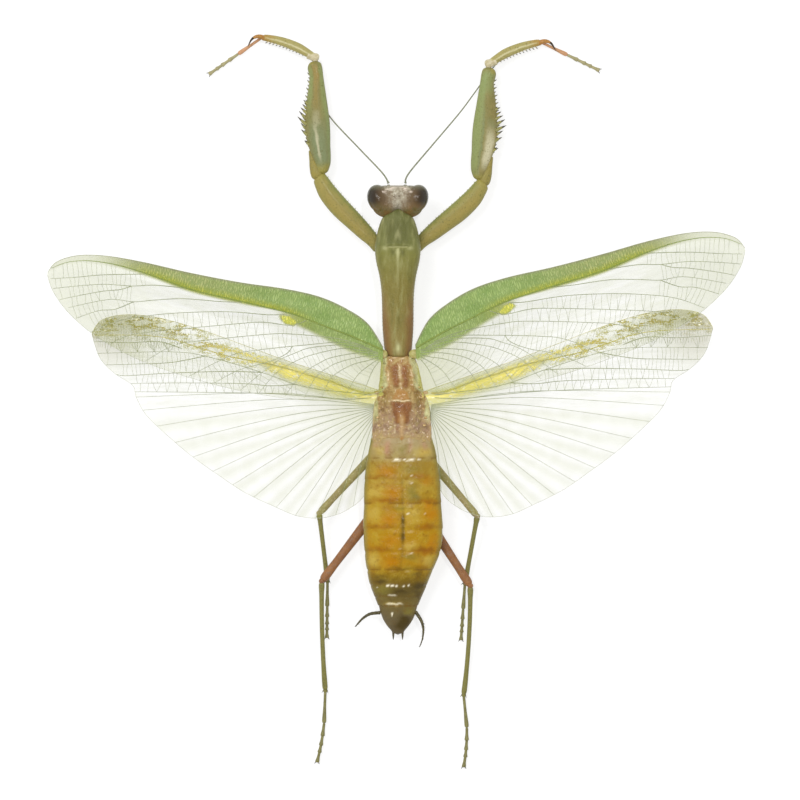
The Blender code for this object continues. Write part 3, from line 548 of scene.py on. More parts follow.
def ball(name, centre, half_size, segments=24, rings=16, turn=0.0):
    """An egg shape, turned clockwise by some degrees as seen from above."""
    deselect()
    bpy.ops.mesh.primitive_uv_sphere_add(segments=segments, ring_count=rings, radius=1.0)
    obj = bpy.context.object
    obj.name = obj.data.name = name
    bpy.ops.object.mode_set(mode="EDIT")
    bpy.ops.transform.resize(value=tuple(half_size))
    bpy.ops.transform.rotate(value=math.radians(turn), orient_axis="Z", center_override=(0, 0, 0))
    bpy.ops.transform.translate(value=tuple(centre))
    bpy.ops.object.mode_set(mode="OBJECT")
    return obj


def apply_modifier(obj, kind, **settings):
    bpy.context.view_layer.objects.active = obj
    modifier = obj.modifiers.new(kind, kind)
    for key, value in settings.items():
        setattr(modifier, key, value)
    bpy.ops.object.modifier_apply(modifier=modifier.name)


def joined(name, pieces):
    """One mesh of several pieces, which keep their own materials."""
    deselect()
    for piece in pieces:
        piece.select_set(True)
    bpy.context.view_layer.objects.active = pieces[0]
    if len(pieces) > 1:
        bpy.ops.object.join()
    obj = bpy.context.object
    obj.name = obj.data.name = name
    return obj


def give(obj, material):
    obj.data.materials.clear()
    obj.data.materials.append(material)
    return obj


def finish_piece(obj, slot, *nodes, crease=50):
    """Scales a piece to metres, shades it, and sets it in the model in place of the named nodes."""
    obj.data.transform(Matrix.Scale(MM, 4))
    deselect()
    obj.select_set(True)
    bpy.context.view_layer.objects.active = obj
    bpy.ops.object.shade_smooth_by_angle(angle=math.radians(crease))
    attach(obj, "root")
    if nodes:
        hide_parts(*nodes)
    return obj


# Materials


def linear(code):
    """An sRGB colour such as 7a7646 as the linear one that shaders use."""
    parts = [int(code[k:k + 2], 16) / 255 for k in (0, 2, 4)]
    return (*[p / 12.92 if p <= 0.04045 else ((p + 0.055) / 1.055) ** 2.4 for p in parts], 1.0)


def per_mm(size):
    """The scale at which a pattern on Object coordinates repeats about once in size millimetres."""
    return 1 / (size * MM)


def add(tree, kind, links=None, stops=(), **settings):
    """Adds a node, sets it, and fills its sockets with values or with other nodes' outputs."""
    made = tree.nodes.new(kind)
    for key, value in settings.items():
        setattr(made, key, value)
    for number, (place, code) in enumerate(stops):
        ramp = made.color_ramp.elements
        element = ramp[number] if number < len(ramp) else ramp.new(place)
        element.position = place
        element.color = linear(code)
    for key, value in (links or {}).items():
        if isinstance(value, bpy.types.NodeSocket):
            tree.links.new(value, made.inputs[key])
        else:
            made.inputs[key].default_value = value
    return made


class Finish:
    """A material in the making: the dry shell of an insect, chitin, with patterns on Object coordinates.

    A share is a number, a node's output or the name of an attribute. A colour is a hex code or a
    node's output.
    """

    def __init__(self, name, roughness=0.4, coat=0.0, shine=0.2):
        self.material = bpy.data.materials.new(name)
        self.material.use_nodes = True
        self.tree = self.material.node_tree
        self.shader = self.tree.nodes["Principled BSDF"]
        self.shader.inputs["Roughness"].default_value = roughness
        self.shader.inputs["Specular IOR Level"].default_value = shine
        self.shader.inputs["Coat Weight"].default_value = coat
        self.shader.inputs["Coat Roughness"].default_value = 0.15
        self.place = add(self.tree, "ShaderNodeTexCoord").outputs["Object"]

    def share(self, value):
        """A share as it stands, or the attribute that it names."""
        if isinstance(value, str):
            return add(self.tree, "ShaderNodeAttribute", attribute_name=value).outputs["Fac"]
        return value

    def along_y(self, front, back, *stops):
        """A colour that runs from one place to another along the body, both in millimetres."""
        y = add(self.tree, "ShaderNodeSeparateXYZ", {0: self.place}).outputs["Y"]
        links = {"Value": y, "From Min": front * MM, "From Max": back * MM}
        share = add(self.tree, "ShaderNodeMapRange", links).outputs["Result"]
        return add(self.tree, "ShaderNodeValToRGB", {0: share}, stops).outputs["Color"]

    def mottle(self, size_mm, low=0.35, high=0.65, detail=4.0, seed=0.0, stretch=None):
        """A soft mottle from 0 to 1, with lumps of about the given size, longer where stretch is small."""
        place = self.place
        if stretch:
            links = {0: place, 1: stretch}
            place = add(self.tree, "ShaderNodeVectorMath", links, operation="MULTIPLY").outputs["Vector"]
        links = {"Vector": place, "W": seed, "Scale": per_mm(size_mm), "Detail": detail, "Roughness": 0.6}
        speckle = add(self.tree, "ShaderNodeTexNoise", links, noise_dimensions="4D").outputs["Fac"]
        links = {"Value": speckle, "From Min": low, "From Max": high}
        return add(self.tree, "ShaderNodeMapRange", links).outputs["Result"]

    def coats(self, colour, *coats):
        """Colours laid over a first one, each as (share, colour)."""
        for share, over in coats:
            first, second = (linear(c) if isinstance(c, str) else c for c in (colour, over))
            links = {0: self.share(share), 6: first, 7: second}
            colour = add(self.tree, "ShaderNodeMix", links, data_type="RGBA").outputs[2]
        return colour

    def blend(self, value, *layers):
        """Values laid over a first one, each as (share, value)."""
        for share, over in layers:
            links = {0: self.share(share), 2: value, 3: over}
            value = add(self.tree, "ShaderNodeMix", links, data_type="FLOAT").outputs[0]
        return value

    def done(self, colour, height=None, depth_mm=0.0):
        """The material, with its colour, and raised by up to depth_mm where height is 1."""
        self.tree.links.new(colour, self.shader.inputs["Base Color"])
        if height is not None:
            links = {"Height": height, "Distance": depth_mm * MM, "Strength": 1.0}
            bump = add(self.tree, "ShaderNodeBump", links)
            self.tree.links.new(bump.outputs["Normal"], self.shader.inputs["Normal"])
        return self.material


def pronotum_material():
    """Dry green chitin: a satin shield with darker lengthwise flecks, brown margins, a pale keel and a
    painted glint near its rear.
    """
    shell = Finish("green_chitin_shield", 0.38)
    green = shell.along_y(
        30.2, 7.2, (0.0, "5e6132"), (0.12, "6b6d3e"), (0.24, "6b6d3a"), (0.3, "757439"), (0.5, "766d33"),
        (0.8, "7a6e37"), (1.0, "7f6f39"),
    )
    pale_flecks = shell.mottle(0.8, 0.5, 0.8, stretch=(1, 0.25, 1))
    dark_flecks = shell.mottle(0.9, 0.5, 0.85, seed=3.0, stretch=(1, 0.3, 1))
    colour = shell.coats(
        green, (pale_flecks, "918f5c"), (dark_flecks, "5c5a28"), ("shade", "4b4d1e"), ("margin", "7c5c34"),
        ("edge", "85804a"), ("keel", "b4b280"),
    )
    return shell.done(colour, shell.mottle(0.2, 0.3, 0.7), 0.05)


def thorax_material():
    """Reddish brown chitin plates set in a paler, wrinkled skin, with its glints painted on as fine pale
    flecks and along its ridges.
    """
    shell = Finish("red_chitin_plates", 0.28, coat=0.15)
    ground = shell.along_y(
        7.0, -6.0, (0.0, "9a7543"), (0.3, "a07c46"), (0.5, "967a46"), (0.62, "997b58"), (0.85, "a2866c"),
        (1.0, "a58a52"),
    )
    plate = shell.coats("70431f", (shell.mottle(0.6, 0.3, 0.7, seed=2.0), "8c5a2e"))
    flank = shell.coats("c8c692", (shell.mottle(1.0, 0.45, 0.7, seed=3.0), "b1ab6c"))
    colour = shell.coats(
        ground,
        (shell.mottle(0.8, 0.45, 0.7), "b59f68"),
        (shell.mottle(1.1, 0.55, 0.75, seed=5.0), "7d6036"),
        # painted glints: fine pale flecks over the skin
        (shell.mottle(0.3, 0.6, 0.68, seed=1.0), "eddcc2"),
        # pale holds real pale seams and marks, and painted glints on the ridges
        ("plate", plate), ("amber", "a57a40"), ("flank", flank), ("pale", "e2cda2"),
    )
    return shell.done(colour, shell.mottle(0.3, 0.3, 0.7), 0.12)


def abdomen_material():
    """Amber chitin: glossy rings with orange and olive stains and painted glints, darkening to brown at the
    end.
    """
    shell = Finish("amber_chitin_rings", 0.28, coat=0.05, shine=0.12)
    ground = shell.along_y(
        ABDOMEN_FRONT, -36.0, (0.0, "98855c"), (0.085, "96834c"), (0.11, "8e7328"), (0.4, "9f7b12"),
        (0.62, "9e740c"), (0.7, "775d10"), (0.76, "5f5024"), (0.83, "665629"), (0.9, "62563a"),
        (1.0, "564b33"),
    )
    light = shell.along_y(
        ABDOMEN_FRONT, -36.0, (0.0, "a3946a"), (0.12, "a3913f"), (0.3, "a98d2b"), (0.66, "a68a26"),
        (0.76, "6f612c"), (1.0, "645840"),
    )
    colour = shell.coats(
        ground, (shell.mottle(2.0, 0.45, 0.68), light), ("straw_and_glint", "b39a45"), ("olive", "786d2c"),
        ("amber", "a66e06"), ("rust", "8a5308"), ("blush", "a87a60"),
    )
    spotted = shell.coats(colour, (0.4, "6b4a10"))
    colour = shell.coats(
        colour, (shell.mottle(0.8, 0.55, 0.7, seed=4.0), spotted), ("rim", "85793a"), ("midline", "54410c"),
        ("crease", "6b4a0e"), ("dusk", "453816"), ("glint", "f2ead0"),
    )
    return shell.done(colour, shell.mottle(0.5, 0.3, 0.7), 0.06)


def head_tones(shell):
    """The colour that shell and eyes share: pale in the middle, dark to the sides and warm behind."""
    tree = shell.tree
    split = add(tree, "ShaderNodeSeparateXYZ", {0: shell.place}).outputs
    across = add(tree, "ShaderNodeMath", {0: split["X"], 1: 0.12 * MM}, operation="ADD").outputs["Value"]
    out = add(tree, "ShaderNodeMath", {0: across}, operation="ABSOLUTE").outputs["Value"]
    share = add(tree, "ShaderNodeMapRange", {"Value": out, "From Max": 4.8 * MM}).outputs["Result"]
    stops = [
        (0.0, "8f8672"), (0.2, "7c6c54"), (0.4, "66543c"), (0.58, "50402c"), (0.75, "32291e"),
        (0.88, "2b251c"), (1.0, "3c3932"),
    ]
    tone = add(tree, "ShaderNodeValToRGB", {0: share}, stops).outputs["Color"]
    links = {"Value": out, "From Min": 0.4 * MM, "From Max": 1.3 * MM, "To Max": 0.85}
    beside_middle = add(tree, "ShaderNodeMapRange", links).outputs["Result"]
    warm = shell.coats("7d5f30", (shell.mottle(1.4, 0.4, 0.6), "6c6030"))
    for start, full, code in ((31.3, 29.7, warm), (32.9, 33.8, "5f5d42")):
        links = {"Value": split["Y"], "From Min": start * MM, "From Max": full * MM}
        links = {0: add(tree, "ShaderNodeMapRange", links).outputs["Result"], 1: beside_middle}
        share = add(tree, "ShaderNodeMath", links, operation="MULTIPLY").outputs["Value"]
        tone = shell.coats(tone, (share, code))
    return tone


def head_material():
    """Pinkish grey-brown chitin, finely pitted, with sparkle painted between the eyes as tiny pale flecks and
    painted glints along the front arc.
    """
    shell = Finish("grey_chitin_face", 0.28, coat=0.15)
    colour = head_tones(shell)
    flecks = shell.mottle(0.5, 0.42, 0.6)
    # sparkle: painted glints, tiny pale flecks between the eyes
    sparkle = shell.mottle(0.22, 0.58, 0.68, seed=7.0)
    for speckle, code in ((flecks, "b1a994"), (sparkle, "ddd6c4")):
        links = {0: speckle, 1: shell.share("vertex")}
        share = add(shell.tree, "ShaderNodeMath", links, operation="MULTIPLY").outputs["Value"]
        colour = shell.coats(colour, (share, code))
    # painted glints along the head's front arc
    colour = shell.coats(colour, ("painted_glint_arc", "e6d6c6"))
    return shell.done(colour, shell.mottle(0.16, 0.3, 0.7), 0.07)


def eye_material():
    """A dried compound eye: a smooth dark lens with its facets drawn coarser than life."""
    lens = Finish("dark_eye_lens", 0.22, coat=0.08)
    links = {"Vector": lens.place, "Scale": per_mm(FACET_GAP)}
    facets = add(lens.tree, "ShaderNodeTexVoronoi", links).outputs["Distance"]
    return lens.done(head_tones(lens), facets, -0.01)


def leg_material(name, light, dark, speck):
    """Dry chitin of a leg: two mottled tones with specks of a third."""
    shell = Finish(name, 0.35)
    colour = shell.coats(light, (shell.mottle(1.6), dark), (shell.mottle(0.28, 0.54, 0.7, seed=6.0), speck))
    return shell.done(colour, shell.mottle(0.22, 0.3, 0.7), 0.05)


def streaked_leg_material(name, ground, warm, streak, edge, flush="957c40"):
    """Dry chitin of a fore leg: a mottled ground with stains, a streak and an edge of other tones."""
    shell = Finish(name, 0.4, coat=0.04)
    colour = shell.coats(
        ground, (shell.mottle(1.3, 0.42, 0.66), warm), ("flush", flush), ("edge", edge), ("moss", "737d58"),
        ("streak", streak), ("ends", "90863f"), (shell.mottle(0.25, 0.56, 0.72, seed=8.0), "5c5a2a"),
    )
    return shell.done(colour, shell.mottle(0.2, 0.3, 0.7), 0.05)


def wing_film(name):
    """A dry clear chitin sheet, with patterns in the flat wing's plane, and a streaky mottle that paints the
    grey shade of its pleats.
    """
    film = Finish(name, 0.3, shine=0.1)
    links = {0: film.share("out"), 1: film.share("ahead")}
    plane = add(film.tree, "ShaderNodeCombineXYZ", links).outputs["Vector"]
    links = {0: plane, 3: MM}
    film.place = add(film.tree, "ShaderNodeVectorMath", links, operation="SCALE").outputs["Vector"]
    return film, film.mottle(0.9, 0.38, 0.66, detail=3.0, seed=9.0, stretch=(0.16, 1, 1))


def forewing_film():
    """Clear film behind, and in front of the radius vein a leathery green field of tiny cells."""
    film, pleats = wing_film("green_edged_wing_film")
    links = {0: film.place, 1: (1, 0.25, 1)}
    drawn_out = add(film.tree, "ShaderNodeVectorMath", links, operation="MULTIPLY").outputs["Vector"]
    links = {"Vector": drawn_out, "Scale": per_mm(CELL_WIDTH)}
    cells = add(film.tree, "ShaderNodeTexVoronoi", links, feature="DISTANCE_TO_EDGE").outputs["Distance"]
    links = {"Value": cells, "From Min": 0.02, "From Max": 0.2}
    inside = add(film.tree, "ShaderNodeMapRange", links).outputs["Result"]
    green = film.coats(
        "88a05a", (film.mottle(3.0, 0.4, 0.62, seed=2.0), "99ad69"), ("outer", "a2a76c"), ("rear", "a3a740"),
        ("spot", "d2ce58"),
    )
    walls = film.coats(green, (0.5, "5f7a3c"))
    flecks = film.mottle(0.2, 0.62, 0.7, seed=4.0)
    field = film.coats(walls, (inside, green), (flecks, "d4deb0"), ("front", "84826c"))
    colour = film.coats("9da34a", ("root", "a8ad45"), ("costal", field))
    # pleats: painted shade, grey streaks drawn into the film's opacity
    body = film.blend(0.03, (pleats, 0.11), ("tip", 0.17), ("root", 0.2), ("costal", 0.95))
    film.tree.links.new(body, film.shader.inputs["Alpha"])
    return film.done(colour, inside, 0.05)


def hindwing_film():
    """Clear film, with a golden band behind the front edge that turns patchy and brown to the tip, flecked
    with painted white glints.
    """
    film, pleats = wing_film("golden_wing_film")
    stops = [
        (0.0, "f2e688"), (0.3, "f5e678"), (0.45, "e6d87c"), (0.62, "b3a24c"), (0.85, "958944"),
        (1.0, "a09a62"),
    ]
    gold = add(film.tree, "ShaderNodeValToRGB", {0: film.share("span")}, stops).outputs["Color"]
    # painted glints: white flecks over the golden band
    gold = film.coats(gold, (film.mottle(0.45, 0.54, 0.62, seed=3.0, stretch=(0.6, 1, 1)), "f9f5d8"))
    golden = film.mottle(0.8, 0.47, 0.53, detail=5.0, seed=1.0, stretch=(0.3, 1, 1))
    flakes = film.mottle(0.22, 0.4, 0.5, seed=6.0)
    for operation, other in (
        ("MULTIPLY", flakes), ("MULTIPLY", film.share("band")), ("MAXIMUM", film.share("line")),
    ):
        golden = add(film.tree, "ShaderNodeMath", {0: golden, 1: other}, operation=operation).outputs["Value"]
    colour = film.coats("9da34a", ("root", "a8ad45"), ("tip", "8c8640"), (golden, gold))
    # painted shade: the fan's film grows more opaque in the hollows between its veins
    folded = film.blend(0.02, ("fold_shade", 0.12))
    # pleats: painted shade, grey streaks drawn into the film's opacity
    body = film.blend(0.01, (pleats, 0.07), ("fan", folded), ("root", 0.15), ("tip", 0.22), (golden, 0.92))
    film.tree.links.new(body, film.shader.inputs["Alpha"])
    return film.done(colour, pleats, 0.05)


def plain_chitin(name, code, roughness=0.4, second="", size=0.5):
    """Chitin of one tone with a soft mottle of a second."""
    shell = Finish(name, roughness)
    return shell.done(shell.coats(code, (shell.mottle(size, 0.4, 0.65), second or code)))


# The trunk


def trunk_point(u, y, width, top, floor, power=2.3, waist_share=0.45):
    """A point round an upright section of the trunk."""
    high, low = profile(top, y), profile(floor, y)
    waist = low + (high - low) * waist_share
    z = boxed(upward(u), power)
    z = waist + z * (high - waist if z > 0 else waist - low)
    return Vector((boxed(sideward(u), power) * profile(width, y), y, z))


def dome(v, front, back):
    """Rounds the two ends of a piece: 1 along its middle, falling to 0 over the end shares."""
    if v < front:
        return math.sqrt(max(1 - (1 - v / front) ** 2, 0.0))
    if v > 1 - back:
        return math.sqrt(max(1 - (1 - (1 - v) / back) ** 2, 0.0))
    return 1.0


def shrunk(point, centre_z, share):
    point.x *= share
    point.z = centre_z + (point.z - centre_z) * share
    return point


def add_pronotum():
    """The shield over the long front part of the thorax, with its keel, cross groove and toothed sides."""
    def place(u, v):
        y = PRONOTUM_FRONT + (PRONOTUM_BACK - PRONOTUM_FRONT) * v
        point = trunk_point(u, y, PRONOTUM_WIDTH, PRONOTUM_TOP, PRONOTUM_FLOOR)
        x, lift = point.x, on_top(u, 0.7)
        point.z -= 0.26 * lift * hump(y - GROOVE, 0.18) * step(2.4, 1.4, abs(x))
        point.z += 0.16 * lift * hump(x, 0.2) * between(y, 7.0, 8.5, 23.2, 23.9)
        point.z -= 0.16 * lift * hump(abs(x) - 1.15, 0.35) * hump(y - 22.9, 1.0)
        point.z -= 0.12 * lift * hump(x, 0.22) * between(y, 24.6, 25.4, 28.4, 29.4)
        arc = 1.3 - 0.08 * (y - 26.5) ** 2
        point.z -= 0.1 * lift * hump(abs(x) - arc, 0.18) * between(y, 24.8, 25.4, 28.2, 29.0)
        point.z += (0.07 * grain((x, y * 0.4, 0), 0.9) + 0.04 * grain((x, y, 1), 0.4)) * lift
        point.x += math.copysign(0.06 * hump(abs(sideward(u)) - 1.0, 0.02) - 0.04, x)
        shrunk(point, 5.6, dome(v, 0.012, 0.02))
        point.x += profile(SWAY, y)
        return point

    # The pale keel, cross bar, side patches and front flecks, and a painted glint near the shield's rear
    # middle.
    def keel(u, v, point):
        y, x = point.y, aside(point)
        line = hump(x, 0.08 + 0.2 * hump(y - PALE_BAR, 0.6)) * (0.35 + 0.6 * hump(y - PALE_BAR, 1.1))
        line *= between(y, 16.5, 19.5, 23.9, 24.3)
        cross = hump(y - GROOVE, 0.11) * step(1.75, 1.4, abs(x)) * 0.8
        wedge = 0.5 * hump(abs(x) - 1.95, 0.45) * hump(y - 24.1, 0.35)
        flecks = step(0.25, 0.6, grain((abs(x) * 1.6, y * 0.28, 5), 0.75)) * step(24.5, 25.2, y) * 0.55
        # glow: a painted glint, a pale patch near the rear middle of the shield
        glow = hump(x, 0.35) * hump(y - 8.6, 0.75) * 0.95
        return min(max(line, cross, wedge, flecks, glow), 1.0) * step(0.1, 0.5, upward(u))

    def shade(u, v, point):
        y, x = point.y, abs(aside(point))
        beside_keel = 0.7 * hump(x - 0.75, 0.35) * hump(y - PALE_BAR, 0.55)
        front_dark = 0.5 * step(2.3, 1.2, x) * between(y, 24.4, 25.0, 27.5, 29.3)
        apex = 0.8 * hump(x, 0.3) * hump(y - 29.8, 0.5)
        return max(beside_keel, front_dark, apex)

    def margin(u, v, point):
        x = abs(aside(point)) / profile(PRONOTUM_WIDTH, point.y)
        return 0.9 * step(0.3, 0.85, x + 0.12 * grain(point, 1.5)) * step(19.5, 12.0, point.y)

    def edge(u, v, point):
        return 0.5 * step(0.93, 0.998, abs(sideward(u))) * step(30.0, 27.0, point.y)

    marks = {"keel": keel, "shade": shade, "edge": edge, "margin": margin}
    shield = give(barrel("pronotum", 96, 170, place, marks), MATERIALS["pronotum"])
    teeth = []
    for side in SIDES:
        for k in range(34):
            y = 8.6 + k * 0.58
            wide = profile(PRONOTUM_WIDTH, y)
            high, low = profile(PRONOTUM_TOP, y), profile(PRONOTUM_FLOOR, y)
            foot = beside((wide - 0.1, y, low + (high - low) * 0.45), side)
            tip = foot + Vector((0.17 * side_sign(side), 0.02, 0))
            teeth.append([(foot, 0.09), (tip, 0.02)])
    teeth = give(strands("pronotum_teeth", teeth), MATERIALS["spine"])
    finish_piece(joined("pronotum_shield", [shield, teeth]), "green_shell", "prothorax")


def lobe(x, y, centre_x, half_x, front, back, soft=0.3):
    """1 inside a plate with rounded borders, and 0 outside it."""
    across = step(half_x, half_x - soft, abs(x - centre_x))
    return across * step(front, front - soft, y) * step(back, back + soft, y)


def thorax_plates(x, y):
    """How much of each part shows at a place: dark plate, amber plate, pale seams and marks with painted
    glints, and clear flank.
    """
    wander = 0.22 * grain((x, y, 3), 1.0)
    x, y = x + wander, y + wander
    narrow = 0.13 * max(0.3 - y, 0.0)
    plate = max(
        0.9 * lobe(abs(x), y, 0.72, 0.9, 6.4, 2.1, 0.8),
        0.95 * lobe(x, y, 0.0, 2.0 - 1.6 * narrow, 0.55, -3.5, 0.6),
        0.6 * lobe(abs(x), y, 0.78, 0.6, -3.3, -4.4, 0.4),
    )
    reach = 0.72 + 0.45 * max(2.3 - y, 0.0)
    shield = step(reach, reach - 0.25, abs(x)) * between(y, 0.5, 0.7, 2.1, 2.35)
    spike = step(0.25, 0.0, abs(x) - (5.8 + y) * 0.11) * between(y, -5.8, -5.4, -3.0, -0.6)
    amber = max(shield, spike)
    # painted glints: pale dashes along the ridges beside the plates
    glint = between(y, 2.9, 3.5, 4.8, 5.3) * step(-0.25, 0.2, grain((x, y, 9), 0.6))
    pale = max(
        hump(x, 0.08) * between(y, 2.3, 2.6, 6.0, 6.4) * 0.4,
        hump(y - 0.45, 0.1) * step(1.5, 1.25, abs(x)) * 0.95,
        hump(x, 0.12) * between(y, -5.4, -4.8, -3.0, -0.6) * 0.35,
        hump(abs(x) - 0.7, 0.28) * hump(y - 7.05, 0.1),
        hump(abs(x) - 1.85, 0.12) * glint,
        hump(abs(x) - 0.45 * (2.2 - y), 0.07) * between(y, 0.7, 0.9, 2.0, 2.2) * 0.4,
        # painted glints: two diagonal pale lines at the rear
        hump(abs(x) - 1.2 - 0.3 * (y + 3.5), 0.08) * between(y, -4.7, -4.4, -3.5, -3.2) * 0.7,
    )
    edge = 1.95 - 0.35 * step(5.4, 6.4, y) + 1.5 * step(2.9, 0.6, y) + 0.35 * grain((x, y, 6), 1.2)
    flank = 0.95 * step(edge, edge + 0.5, abs(x)) * step(-3.6, -1.6, y)
    return plate, amber, pale, flank


def add_thorax():
    """The two rings that carry the wings, in one skin: paired plates, shields and wrinkled sides."""
    def place(u, v):
        y = THORAX_FRONT + (THORAX_BACK - THORAX_FRONT) * v
        held = min(max(y, THORAX_WIDTH[0][0]), THORAX_WIDTH[-1][0])
        point = trunk_point(u, held, THORAX_WIDTH, THORAX_TOP, THORAX_FLOOR, 2.7, 0.5)
        point.y = y
        x, lift = point.x, step(0.1, 0.8, upward(u))
        plate, amber, pale, flank = thorax_plates(x, y)
        point.z += lift * (0.25 * plate + 0.16 * amber + 0.16 * pale - 0.3)
        point.z -= lift * 0.9 * step(1.9, 3.2, abs(x)) * between(y, -5.4, -4.0, 6.6, 7.4)
        point.z -= lift * 0.35 * hump(y - 1.5, 0.4) * step(1.2, 2.0, abs(x))
        rough = step(1.4, 2.2, abs(x)) * lift + (1 - lift) * 0.6
        point.z += 0.3 * rough * grain(point, 0.7) + 0.06 * lift * grain(point, 0.35)
        point.x += 0.14 * rough * grain(point, 0.8, 7.0)
        shrunk(point, 5.7, dome(v, 0.04, 0.04))
        point.z = min(point.z, profile(THORAX_TOP, held))
        point.x += profile(SWAY, y)
        return point

    def mark(which):
        def work_out(u, v, point):
            return min(thorax_plates(aside(point), point.y)[which], 1.0) * on_top(u)
        return work_out

    marks = {name: mark(k) for k, name in enumerate(("plate", "amber", "pale", "flank"))}
    skin = give(barrel("wing_thorax", 130, 150, place, marks), MATERIALS["thorax"])
    knobs = []
    for side in SIDES:
        root = ball("wing_root", beside((2.55, 7.65, 6.85), side), (0.95, 0.75, 0.45))
        knobs.append(give(root, MATERIALS["wing_root"]))
        for x, y, z, size in THORAX_KNOBS:
            half = (size, size * 0.7, size * 0.5)
            knobs.append(give(ball("knob", beside((x, y, z), side), half, 14, 8), MATERIALS["knob"]))
    finish_piece(joined("wing_thorax_skin", [skin, *knobs]), "thorax_shell", "mesothorax", "metathorax")


def tergite_at(y):
    """The number of the ring at a place along the abdomen, and the share of it that lies ahead."""
    start = ABDOMEN_FRONT
    for number, length in enumerate(TERGITE_LENGTHS):
        if y > start - length or number == len(TERGITE_LENGTHS) - 1:
            return number, min(max((start - y) / length, 0.0), 1.0)
        start -= length


def add_abdomen():
    """Nine overlapping rings and the end plates, in one shell."""
    rows_each = 15
    end_row = rows_each * (len(TERGITE_LENGTHS) - 1)
    rows = []
    start = ABDOMEN_FRONT
    for length in TERGITE_LENGTHS:
        rows += [(start - length * k / rows_each, k / rows_each) for k in range(rows_each)]
        start -= length
    rows.append((ABDOMEN_BACK, 1.0))
    rows[0] = (ABDOMEN_FRONT + ABDOMEN_TUCK, 0.0)

    def place(u, v):
        at = round(v * (len(rows) - 1))
        y, share = rows[at]
        point = trunk_point(u, y, ABDOMEN_WIDTH, ABDOMEN_TOP, ABDOMEN_FLOOR, 2.15, 0.5)
        high, low = profile(ABDOMEN_TOP, y), profile(ABDOMEN_FLOOR, y)
        middle = (high + low) / 2
        overlap = 0.012 + 0.022 * step(-20.0, -27.0, y)
        swell = 0.985 - overlap + overlap * (step(0.0, 0.35, share) - step(0.95, 1.0, share) + 1)
        if at >= end_row:
            swell = 0.97 + 0.015 * step(0.0, 0.15, share)
        swell += 0.012 * grain((point.x, y, point.z), 1.6) + 0.01 * step(-24, -28, y) * grain(point + UP, 0.7)
        shrunk(point, middle, min(swell, 1.0))
        lift = step(0.1, 0.8, upward(u))
        point.z -= 0.12 * lift * hump(point.x, 0.22) * (at < end_row)
        point.z += 0.08 * lift * hump(abs(point.x) - 1.1, 0.4) * hump(share - 0.12, 0.06)
        point.z += 0.12 * lift * grain((point.x, y * 1.5, 0.0), 1.3)
        if at >= end_row:
            shrunk(point, middle, dome(0.5 + share / 2, 0.01, 0.03))
        point.z = max(point.z, 0.0)
        point.x += profile(SWAY, y)
        return point

    def stain(patches):
        def work_out(u, v, point):
            shift = 0.5 * grain((point.x, point.y, 8.0), 1.0)
            return stained(point.x + shift, point.y + shift, patches) * on_top(u)
        return work_out

    def crease(u, v, point):
        number, share = tergite_at(point.y)
        ragged = step(-0.35, 0.15, grain((point.x * 0.8, number * 7.0, 0.0), 0.8))
        soft = 0.25 * step(0.7, 0.95, share) + 0.4 * step(0.93, 0.98, share)
        return soft * ragged * step(-34.0, -32.0, point.y)

    def midline(u, v, point):
        y = point.y
        dark = between(y, -22.0, -21.0, -18.0, -16.8)
        wide = 0.09 + 0.12 * dark * (1 + grain((0, y, 4), 0.9))
        share = (0.4 + 0.5 * dark) * (0.75 + 0.5 * grain((0, y, 7), 0.7)) * hump(aside(point), wide)
        return share * on_top(u) * between(y, -26.5, -24.0, -12.5, -10.5)

    def rim(u, v, point):
        return 0.8 * step(0.84, 0.99, abs(sideward(u))) * step(-30.0, -26.0, point.y)

    def glint(u, v, point):
        number, share = tergite_at(point.y)
        x = aside(point)
        y = point.y + 0.14 * grain((x, 0, 5), 0.55)
        dash = hump(abs(x) - 1.2, 0.36) * hump(share - 0.1, 0.022) * (1.0 if x > 0 else 0.3)
        dash *= step(-27.0, -26.0, point.y)
        row = hump(y + 28.25, 0.16 + 0.06 * grain((x, 0, 15), 0.3)) * step(2.1, 1.7, abs(x))
        row *= step(-0.15, 0.2, grain((x, 0, 2), 0.36))
        lip = 0.5 * hump(y + 31.1, 0.15 + 0.05 * grain((x, 0, 16), 0.4)) * between(x, -2.1, -1.5, 0.2, 1.0)
        lip += 0.45 * hump(y + 29.75, 0.12) * between(x, -1.7, -1.4, -0.4, -0.2)
        front = 0.9 * hump(y + 8.7, 0.2) * between(x, -2.0, -1.4, 2.4, 3.2)
        front *= step(-0.05, 0.3, grain((x, point.y * 2, 6), 0.42))
        fleck = step(0.62, 0.75, grain((x, point.y, 12), 0.6)) * step(-5.0, -2.0, x) * step(4.6, 3.0, abs(x))
        return min(dash + row + front + lip + 0.8 * fleck, 1.0) * on_top(u)

    marks = {name: stain(patches) for name, patches in ABDOMEN_STAINS.items()}
    marks.update({"crease": crease, "midline": midline, "rim": rim, "glint": glint})
    shell = give(barrel("abdomen", 110, len(rows) - 1, place, marks), MATERIALS["abdomen"])
    stubs = []
    for side in SIDES:
        foot = beside((0.72, ABDOMEN_BACK + 0.5, 1.7), side)
        stubs.append([(foot, 0.2), (foot - Vector((0, 0.6, 0)), 0.16), (foot - Vector((0, 1.25, 0)), 0.06)])
    styli = give(strands("styli", stubs, 2), MATERIALS["cercus"])
    piece = joined("abdomen_shell", [shell, styli])
    finish_piece(piece, "abdomen_shell", "abdomen", "abdomen_tip", crease=40)


# The head


